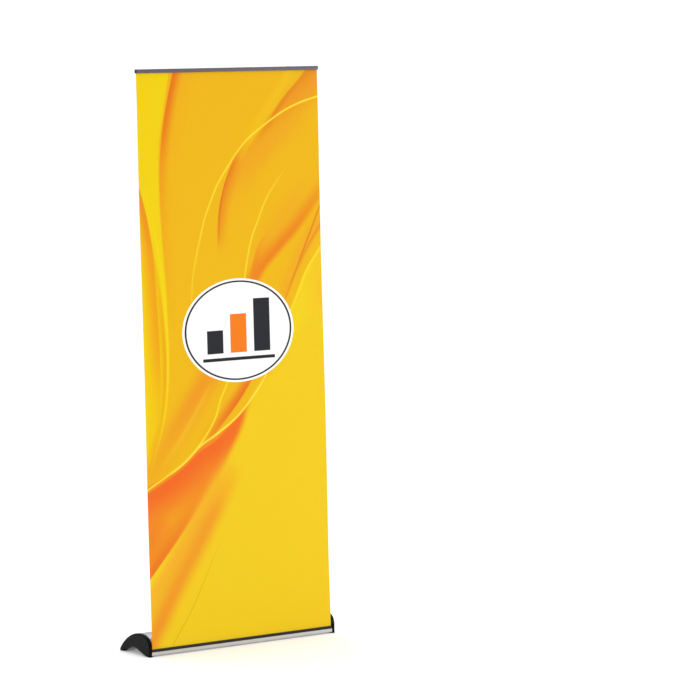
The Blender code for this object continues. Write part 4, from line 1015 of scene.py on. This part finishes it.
# Strokes of the artwork, which run down the print. Each has a name, a colour, the colour's reach in
# millimetres to the left and to the right, its strength at even steps along the stroke, and points
# across and up the shown part of the print, in hundredths of its width and height.
STROKES = [
    ("yellow_field", "ECCB1E", 4, 1600, (1, 1), [(110, 73.5), (92, 64.8), (86, 60.6), (76, 53.5), (65, 45),
        (58, 42), (45, 31.5), (34, 26), (21, 20.5), (10, 16), (-10, 8)]),
    ("warm_edge", "EEBC22", 110, 110, (0, 0.8, 0.4, 0), [(112, 74), (102, 66), (101, 50), (103, 30)]),
    ("left_field", "EBCB0E", 700, 3, (1, 1), [(18.5, 102), (14, 93.5), (11.2, 87), (10.5, 80), (11.5, 70),
        (13, 60), (12.5, 50), (8.5, 39), (-5, 27)]),
    ("left_inner", "EAA014", 75, 4, (0.8, 1, 1, 0.35, 0), [(-6, 86), (1, 79), (5.5, 71), (7.5, 61),
        (8.5, 50), (7.5, 41), (2, 32.5), (-6, 27)]),
    ("left_amber", "E6A612", 30, 10, (0, 0.4, 0.8, 1, 0.9, 0.2), [(2, 76), (7, 68), (10, 60), (11.5, 50),
        (10, 41), (4, 34)]),
    ("left_line", "EFD316", 9, 9, (0.2, 0.5, 0.8, 0.9, 0.8, 0.3), [(3, 80), (9, 70), (12, 60), (13, 50),
        (10, 40), (2, 31)]),
    ("ridge_glow", "E9A01C", 40, 110, (0.5, 0.35, 0.12, 0.05, 0), [(24, 102), (17, 93), (14, 86), (13, 78),
        (14, 70), (16, 60)]),
    ("ridge", "E47314", 5, 48, (1, 0.95, 0.45, 0.2, 0.1, 0), [(21.5, 102), (15.8, 94), (12.5, 87),
        (11.4, 80), (12, 72), (14, 62), (15, 54)]),
    ("sliver", "E68A1E", 42, 5, (0.9, 0.9, 0.7, 0.3, 0), [(-4, 84), (1, 78.5), (4.5, 73), (7, 67),
        (7.8, 61)]),
    ("top_shade", "E48A1C", 10, 130, (1, 0.9, 0.75, 0.6, 0.4, 0.15, 0), [(102, 103), (93, 99), (80, 94.5),
        (72, 91.5), (60, 86), (51, 80), (45, 73)]),
    ("top_edge", "DD7D18", 5, 24, (0.5, 0.8, 0.9, 0.5, 0), [(98, 102), (90, 98.5), (79, 94.5), (70, 90),
        (62, 87)]),
    ("top_light", "ECBE1C", 30, 40, (0.8, 0.7, 0.5, 0.2, 0), [(90, 103), (78, 96.5), (64, 90), (52, 83),
        (44, 75)]),
    ("corner_shade", "E89A26", 80, 60, (0.9, 0.7, 0.4, 0), [(110, 99), (98, 96.5), (88, 95), (78, 93.5)]),
    ("upper_glow", "E9A420", 50, 80, (0, 0.6, 0.8, 0.5, 0), [(95, 92), (80, 89.5), (66, 86), (56, 82),
        (50, 78)]),
    ("middle_shade", "E3801C", 5, 60, (0, 0.5, 0.95, 0.9, 0.8, 0.5, 0), [(60, 88.8), (55.5, 86.8),
        (50.5, 83.5), (46.5, 80), (43.5, 76.5), (42, 72), (42, 68)]),
    ("middle_edge", "D76E14", 4, 7, (0, 0.7, 0.9, 0.8, 0), [(53, 84.5), (48, 81.5), (45, 78.5), (43, 74.5),
        (42.5, 70)]),
    ("upper_line", "F9DF38", 6, 6, (1, 1, 0.95, 0.9, 0.85, 0.7, 0.5, 0.3), [(105, 95.7), (91, 94.4),
        (80, 92.8), (69, 90.4), (60, 88.1), (54, 85.9), (48, 83.1), (42.5, 80.3), (39, 77.8), (35, 74.5),
        (32, 70.9), (29.5, 67.5), (27.5, 64), (26.5, 60)]),
    ("sweep_glow", "E89C22", 90, 60, (0, 0.1, 0.4, 0.4, 0.2), [(106, 84), (92, 79), (80, 74), (70, 70),
        (62, 65)]),
    ("orange_sweep", "E67A1C", 58, 28, (0.45, 0.65, 0.85, 0.9, 0.9, 0.5), [(106, 80), (99, 77.6),
        (86, 72.2), (75, 68.5), (66.5, 65.5), (60, 62), (55, 58)]),
    ("sweep_warm", "EAA520", 50, 40, (0.9, 0.9, 0.7, 0.5, 0.2), [(105, 75), (93, 70), (84, 65), (74, 58),
        (66, 50)]),
    ("sweep_line_a", "D97416", 4, 8, (0.8, 0.9, 0.9, 0.6, 0.2), [(102, 77.5), (93, 70.5), (87.5, 66.4),
        (82, 62), (74, 56)]),
    ("sweep_line_b", "E28A1E", 8, 12, (0.8, 0.8, 0.6, 0.2), [(102, 73.5), (93, 69), (86, 65), (78, 60)]),
    ("field_line", "F5D62C", 7, 12, (0.9, 0.9, 0.7, 0.6, 0.7), [(104, 70.2), (92, 64.8), (86, 60.6),
        (76, 53.5), (65, 45.2)]),
    ("second_line", "F2D534", 6, 6, (0, 0.6, 0.9, 1, 1, 0.9, 0.9), [(81, 83), (78.5, 81.8), (72.5, 79.1),
        (68, 76.5), (64, 73.3), (60.5, 70.4), (58, 66.9), (56, 63), (54.5, 58)]),
    ("second_shade", "E68420", 5, 60, (0, 0.5, 0.8, 0.6), [(70, 72), (64, 69), (60.5, 65), (58, 61)]),
    ("middle_streak", "E89420", 70, 95, (0.5, 0.9, 0.9, 0.7, 0.5, 0.4), [(46, 54), (33, 46.3), (23, 41.5),
        (14, 37), (7, 33.5), (-4, 28.5)]),
    ("middle_light", "EEB828", 14, 20, (0, 0.6, 0.6, 0), [(36, 45.5), (25, 39.5), (16, 35), (8, 31.5)]),
    ("third_shade", "E47020", 52, 8, (0.6, 1, 0.9, 0.3), [(62, 47.5), (52, 42.5), (42, 38.5), (33, 35.2)]),
    ("wedge", "EC8822", 3, 330, (0, 1, 1, 1, 1, 1, 1), [(72, 51), (66, 46.2), (58, 42), (49, 38.8),
        (38, 36), (29, 34.5), (20, 32), (10, 30), (-4, 27.5)]),
    ("wedge_deep", "EA6822", 8, 150, (0.3, 0.8, 0.95, 1, 1, 1, 0.9), [(60, 42.5), (49, 38.5), (38, 35.2),
        (29, 33.5), (20, 31), (10, 28.8), (-4, 26.2)]),
    ("wedge_low", "EA7C24", 130, 90, (0, 0.8, 1), [(10, 23.5), (3, 20), (-4, 17)]),
    ("wedge_streak", "E87420", 80, 6, (0, 0.2, 0.5, 0.85, 1, 1), [(46, 33), (34, 27.5), (26, 23.5),
        (13, 17.8), (1, 12.8), (-6, 10)]),
    ("lower_yellow", "EBC61D", 34, 1200, (1, 1), [(115, 63), (90, 54), (72, 47), (60, 42), (54.5, 37),
        (45.5, 31.5), (34.5, 25.8), (22, 19.5), (10.5, 13.8), (-8, 5)]),
    ("lower_haze", "EEAC2A", 34, 70, (0, 0.5, 0.7, 0.8, 0.8), [(46, 34), (34, 27), (20, 19), (9, 13.5),
        (-2, 8)]),
    ("lower_streak", "EA9424", 85, 60, (0, 0.6, 0.9, 0.9, 0.95, 1, 1), [(50, 31), (44.5, 27.7), (36.5, 23),
        (25.5, 16.5), (14, 10), (4.5, 4), (-4, -1)]),
    ("lower_line", "D59A14", 3, 3, (0, 0.6, 0.8, 0.7), [(40, 18), (34.5, 14.6), (23, 6.6), (13, 1.2),
        (10, -1)]),
    ("third_line", "F4DA2A", 6.5, 6.5, (0.6, 0.9, 1, 1, 1, 1, 1), [(47, 47.5), (45.3, 45.5), (41, 42.4),
        (38, 39.4), (31.5, 36), (22, 32.5), (11, 30), (0.5, 27.9), (-6, 26.5)]),
    ("fourth_line", "F9E24A", 6, 6, (0.8, 1, 1, 1, 0.9, 0.8, 0.3), [(68, 47), (64.8, 45.2), (57.8, 42),
        (49.2, 39), (37.8, 36.4), (29.4, 34.7), (20.4, 32), (13, 30.2)]),
]


def smooth_path(points):
    """Points close together, in millimetres, on one smooth curve through a stroke's points."""
    per_step = 24
    given = np.array(points, float) / 100 * (GRAPHIC_SIZE / MM)
    padded = np.vstack([2 * given[0] - given[1], given, 2 * given[-1] - given[-2]])
    path = []
    for a, b, c, d in zip(padded, padded[1:], padded[2:], padded[3:]):
        for k in range(per_step):
            t = k / per_step
            path.append(0.5 * (2 * b + (c - a) * t + (2 * a - 5 * b + 4 * c - d) * t ** 2
                               + (3 * b - 3 * c + d - a) * t ** 3))
    return np.array(path + [given[-1]])


def stroke_field(points, places):
    """Each place's distance in millimetres from a stroke, and its share of the way along it.

    The distance is negative on the print's left of a stroke that runs down, and positive on its right.
    """
    path = smooth_path(points)
    lengths = np.concatenate([[0], np.cumsum(np.linalg.norm(np.diff(path, axis=0), axis=1))])
    distance = np.full(len(places), 1e9)
    signed = np.zeros(len(places))
    along = np.zeros(len(places))
    for i in range(len(path) - 1):
        run = path[i + 1] - path[i]
        offset = places - path[i]
        share = np.clip(offset @ run / (run @ run), 0, 1)
        gap = offset - share[:, None] * run
        size = np.linalg.norm(gap, axis=1)
        nearer = size < distance
        side = np.sign(run[0] * offset[:, 1] - run[1] * offset[:, 0])
        distance = np.where(nearer, size, distance)
        signed = np.where(nearer, size * side, signed)
        along = np.where(nearer, (lengths[i] + share * (lengths[i + 1] - lengths[i])) / lengths[-1], along)
    return signed, along


def printed_film():
    """Printed polyester film: flat saturated ink under a satin laminate, with a faint print grain.

    The strokes are read from the sheet's own attributes, so the artwork stays with the film.
    """
    material, tree, feed_shader = new_material("polyester_film_printed_satin")
    place = add(tree, "ShaderNodeUVMap", {"uv_map": "UVMap"}).outputs[0]
    axes = add(tree, "ShaderNodeSeparateXYZ", Vector=place)
    down = add(tree, "ShaderNodeMapRange", Value=axes.outputs[1], in_1=1.0, in_2=0.45, in_3=0.0, in_4=1.0)
    tone = add(tree, "ShaderNodeMix", {"data_type": "RGBA"}, in_0=down.outputs[0],
               in_6=linear("E9B216"), in_7=linear("E8B416")).outputs[2]
    for name, colour, left, right, strengths, _ in STROKES:
        field = add(tree, "ShaderNodeAttribute", {"attribute_name": name})
        parts = add(tree, "ShaderNodeSeparateXYZ", Vector=field.outputs["Vector"])
        near, far = (add(tree, "ShaderNodeMapRange", {"interpolation_type": "SMOOTHSTEP"},
                         Value=parts.outputs[0], in_1=reach, in_2=0.0) for reach in (-left, right))
        band = add(tree, "ShaderNodeMath", {"operation": "MULTIPLY"},
                   in_0=near.outputs[0], in_1=far.outputs[0])
        force = add(tree, "ShaderNodeFloatCurve", Value=parts.outputs[1])
        curve = force.mapping.curves[0]
        curve.points[0].location = (0, strengths[0])
        curve.points[1].location = (1, strengths[-1])
        for k, strength in enumerate(strengths[1:-1]):
            curve.points.new((k + 1) / (len(strengths) - 1), strength)
        force.mapping.update()
        share = add(tree, "ShaderNodeMath", {"operation": "MULTIPLY", "use_clamp": True},
                    in_0=band.outputs[0], in_1=force.outputs[0])
        tone = add(tree, "ShaderNodeMix", {"data_type": "RGBA"}, in_0=share.outputs[0],
                   in_6=tone, in_7=linear(colour)).outputs[2]
    tone = badge(tree, axes, tone)
    # Across the print's width, the grain repeats about every 3 mm and the mottle every 160 mm.
    grain = add(tree, "ShaderNodeTexNoise", Vector=place, Scale=260.0, Detail=2.0)
    mottle = add(tree, "ShaderNodeTexNoise", Vector=place, Scale=5.0, Detail=3.0)
    lift, gloss = (add(tree, "ShaderNodeMapRange", Value=noise.outputs[0], in_1=0.3, in_2=0.7,
                       in_3=lowest, in_4=highest).outputs[0]
                   for noise, lowest, highest in ((grain, 0.985, 1.015), (mottle, 0.44, 0.54)))
    inked = add(tree, "ShaderNodeHueSaturation", Value=lift, Color=tone)
    relief = add(tree, "ShaderNodeBump", Strength=0.3, Distance=0.02 * MM, Height=grain.outputs[0])
    feed_shader(Base_Color=inked.outputs[0], Roughness=gloss, Normal=relief.outputs[0], IOR=1.5,
                Specular_IOR_Level=0.07)
    return material


BADGE_CENTRE = (0.52, 0.545)
BADGE_HALF = (238.0, 180.0)
DARK_INK = "2B2C31"
# The badge's bars: middle across and up, half width, half height, and colour.
BADGE_BARS = [(-104.0, -38.0, 36.0, 42.0, DARK_INK), (0.0, -10.0, 36.0, 70.0, "EF7D1E"),
              (104.0, 16.0, 36.0, 96.0, DARK_INK), (0.0, -102.0, 160.0, 6.0, DARK_INK)]


def badge(tree, axes, tone):
    """Plain oval badge with an outline, three rising bars and a ground line. Its sizes are in millimetres."""
    spots = []
    for axis in (0, 1):
        size = float(GRAPHIC_SIZE[axis] / MM)
        spots.append(add(tree, "ShaderNodeMath", {"operation": "MULTIPLY_ADD"}, in_0=axes.outputs[axis],
                         in_1=size, in_2=-BADGE_CENTRE[axis] * size).outputs[0])
    spot = add(tree, "ShaderNodeCombineXYZ", X=spots[0], Y=spots[1])
    oval = add(tree, "ShaderNodeVectorMath", {"operation": "DIVIDE"}, in_0=spot.outputs[0],
               in_1=(*BADGE_HALF, 1.0))
    reach = add(tree, "ShaderNodeVectorMath", {"operation": "LENGTH"}, in_0=oval.outputs[0])
    oval_soft, bar_soft = 0.003, 0.6
    layers = []
    for edge, colour in ((1.04, "FFFFFF"), (1.0, DARK_INK), (0.965, "FDFDFC")):
        layers.append((reach.outputs["Value"], edge + oval_soft, edge - oval_soft, colour))
    for across, up, half_wide, half_tall, colour in BADGE_BARS:
        local = add(tree, "ShaderNodeVectorMath", {"operation": "SUBTRACT"}, in_0=spot.outputs[0],
                    in_1=(across, up, 0.0))
        folded = add(tree, "ShaderNodeVectorMath", {"operation": "ABSOLUTE"}, in_0=local.outputs[0])
        beyond = add(tree, "ShaderNodeVectorMath", {"operation": "SUBTRACT"}, in_0=folded.outputs[0],
                     in_1=(half_wide, half_tall, 0.0))
        sides = add(tree, "ShaderNodeSeparateXYZ", Vector=beyond.outputs[0])
        outside = add(tree, "ShaderNodeMath", {"operation": "MAXIMUM"},
                      in_0=sides.outputs[0], in_1=sides.outputs[1])
        layers.append((outside.outputs[0], bar_soft, -bar_soft, colour))
    for measure, none_from, full_from, colour in layers:
        inside = add(tree, "ShaderNodeMapRange", Value=measure, in_1=none_from, in_2=full_from)
        tone = add(tree, "ShaderNodeMix", {"data_type": "RGBA"}, in_0=inside.outputs[0],
                   in_6=tone, in_7=linear(colour)).outputs[2]
    return tone


def film_ripple(x, height):
    """How far the stretched film stands out of its plane: slow pulls between the rail and the slot."""
    share = (height - SEAL_TOP) / SHOWN_HEIGHT
    free = smooth_share(height, SEAL_TOP + 20 * MM, SEAL_TOP + 320 * MM)
    free *= smooth_share(STAND_TOP - height, 20 * MM, 260 * MM)
    across = x / HALF_PRINT
    pull = 0.9 * MM * math.sin(2.2 * math.pi * across + 1.7 * math.sin(2.6 * share + 0.4))
    edge = 1.6 * MM * across ** 4 * math.sin(3.4 * math.pi * share + 0.6 * across)
    return free * (pull + edge)


def make_print():
    """Film from the roller's slot up to the rail, printed in front and grey behind and on its edges."""
    columns, rows = 80, 208
    bottom, top = PRINT_LOW.z, PRINT_HIGH.z
    xs = np.linspace(-HALF_PRINT, HALF_PRINT, columns + 1)
    verts = []
    for depth in (-FILM / 2, FILM / 2):
        for z in np.linspace(bottom, top, rows + 1):
            plane = FRONT + PRINT_BACK + LEAN * (z - SEAL_TOP) / SHOWN_HEIGHT
            verts += [(x, plane + depth + film_ripple(x, z), z) for x in xs]
    wide = columns + 1
    layer = wide * (rows + 1)
    faces, kinds = [], []
    for j in range(rows):
        for i in range(columns):
            a = j * wide + i
            b = a + layer
            faces += [(a, a + 1, a + 1 + wide, a + wide), (b + wide, b + 1 + wide, b + 1, b)]
            kinds += [0, 1]
    edge = list(range(wide)) + [j * wide + columns for j in range(1, rows + 1)]
    edge += [rows * wide + i for i in range(columns - 1, -1, -1)] + [j * wide for j in range(rows - 1, 0, -1)]
    for a, b in zip(edge, edge[1:] + edge[:1]):
        faces.append((a, a + layer, b + layer, b))
        kinds.append(1)
    mesh = bpy.data.meshes.new("banner_film")
    mesh.from_pydata(verts, [], faces)
    mesh.materials.append(printed_film())
    mesh.materials.append(FILM_BACK)
    mesh.polygons.foreach_set("material_index", kinds)
    spots = np.array([(x, z) for x, _, z in verts])
    shares = (spots - np.array((-HALF_PRINT, SEAL_TOP))) / GRAPHIC_SIZE
    uv = mesh.uv_layers.new(name="UVMap")
    corners = np.zeros(len(mesh.loops), np.int32)
    mesh.loops.foreach_get("vertex_index", corners)
    uv.data.foreach_set("uv", shares[corners].astype(np.float32).ravel())
    places = shares * (GRAPHIC_SIZE / MM)
    for name, *_, points in STROKES:
        signed, along = stroke_field(points, places[:layer])
        values = np.zeros((len(verts), 3), np.float32)
        values[:layer, 0] = values[layer:, 0] = signed
        values[:layer, 1] = values[layer:, 1] = along
        mesh.attributes.new(name, "FLOAT_VECTOR", "POINT").data.foreach_set("vector", values.ravel())
    banner = linked("banner_film", mesh)
    mesh.shade_smooth()
    mesh.set_sharp_from_angle(angle=math.radians(40))
    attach(banner, "base")
    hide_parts("banner_print")
    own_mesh(banner)


# ---------------------------------------------------------------- CAD nodes that stay
def paint_frame():
    """Gives the CAD nodes that stay in view their finishes."""
    finishes = {
        ABS_SATIN: ("idler_plug", "drive_plug", "spring_anchor", "pole_foot_plug", "middle_end_plug",
                    "upper_end_plug", "pole_tip"),
        STEEL_ZINC: ("roller_tube", "adjuster_clip"),
        STEEL_SPRING: ("spring_spindle",),
        ACETAL: ("idler_bush", "spindle_guide", "header_strip", "lower_lock_bush", "upper_lock_bush"),
        FILM_BACK: ("print_on_roller", "print_leader"),
    }
    for material, nodes in finishes.items():
        for node in nodes:
            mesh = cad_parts[node].data
            mesh.materials.clear()
            mesh.materials.append(material)


# ---------------------------------------------------------------- floor, light and camera
def make_stage():
    """Round floor out to the horizon."""
    radius, sides, level = 900.0, 48, -0.3 * MM
    bm = bmesh.new()
    turns = [2 * math.pi * k / sides for k in range(sides)]
    bm.faces.new([bm.verts.new((radius * math.cos(a), radius * math.sin(a), level)) for a in turns])
    mesh = bpy.data.meshes.new("studio_floor")
    bm.to_mesh(mesh)
    bm.free()
    floor = linked("studio_floor", mesh)
    # Opal acrylic table lit from below: near white, with a faint mottle and a glow of its own.
    material, tree, feed_shader = new_material("acrylic_opal_matt")
    place = add(tree, "ShaderNodeTexCoord").outputs["Object"]
    mottle = add(tree, "ShaderNodeTexNoise", Vector=place, Scale=3.0, Detail=3.0)
    tone = add(tree, "ShaderNodeMix", {"data_type": "RGBA"}, in_0=mottle.outputs[0],
               in_6=linear("F6F6F6"), in_7=linear("F9F9F9"))
    feed_shader(Base_Color=tone.outputs[2], Roughness=0.9, Specular_IOR_Level=0.1, Emission_Strength=0.16)
    material.cycles.emission_sampling = "NONE"
    mesh.materials.append(material)


def make_light(name, position, aim, size, power):
    """White rectangular light of this width and height, turned to its aim."""
    data = bpy.data.lights.new(name, "AREA")
    data.shape = "RECTANGLE"
    data.size, data.size_y = size
    data.energy = power
    light = linked(name, data)
    light.location = position
    light.rotation_euler = (Vector(aim) - Vector(position)).to_track_quat("-Z", "Y").to_euler()


def make_lights():
    """Bright even studio: a sky that dims towards the horizon, tall strips, a low panel and a top light."""
    world = bpy.data.worlds.new("studio")
    bpy.context.scene.world = world
    world.use_nodes = True
    tree = world.node_tree
    place = add(tree, "ShaderNodeTexCoord").outputs["Generated"]
    height = add(tree, "ShaderNodeSeparateXYZ", Vector=place).outputs[2]
    level = add(tree, "ShaderNodeMapRange", Value=height, in_1=0.0, in_2=1.0, in_3=0.47, in_4=1.31)
    feed(tree, tree.nodes["Background"], {"Color": linear("FFFFFF"), "Strength": level.outputs[0]})
    make_light("strip_left", (-3.5, -3.0, 1.8), (-0.4, 0, 0.3), (0.08, 1.6), 13)
    make_light("strip_right", (3.2, -3.4, 1.8), (0.4, 0, 0.3), (0.08, 1.6), 13)
    make_light("low", (1.9, -2.5, 0.25), (0, -0.1, 0.05), (0.9, 0.5), 3.2)
    make_light("top", (0, 1.1, 3.1), (0, 0.05, 0.1), (2.6, 0.15), 11)
    view = bpy.context.scene.view_settings
    view.view_transform = "Standard"
    view.look = "None"
    view.exposure = 0.0


def make_camera():
    """Long lens from the front left, a little above the rail."""
    aim, azimuth, elevation, distance = Vector((0.3934, -0.2151, 1.0623)), -37.531, 5.842, 13.6
    turn, rise = math.radians(azimuth), math.radians(elevation)
    away = Vector((math.sin(turn) * math.cos(rise), -math.cos(turn) * math.cos(rise), math.sin(rise)))
    data = bpy.data.cameras.new("camera")
    data.lens = 192.1
    data.sensor_width = 36
    data.clip_start, data.clip_end = 0.1, 400
    camera = linked("camera", data)
    camera.location = aim + away * distance
    camera.rotation_mode = "QUATERNION"
    camera.rotation_quaternion = (-away).to_track_quat("-Z", "Y")
    bpy.context.scene.camera = camera


make_camera()
make_stage()
make_lights()
paint_frame()
make_casing()
make_slot_parts()
make_cap(-1, "left")
make_cap(1, "right")
make_socket()
make_screws()
make_feet()
make_adjuster()
make_spring()
make_pole()
make_rail()
make_bracket()
make_print()
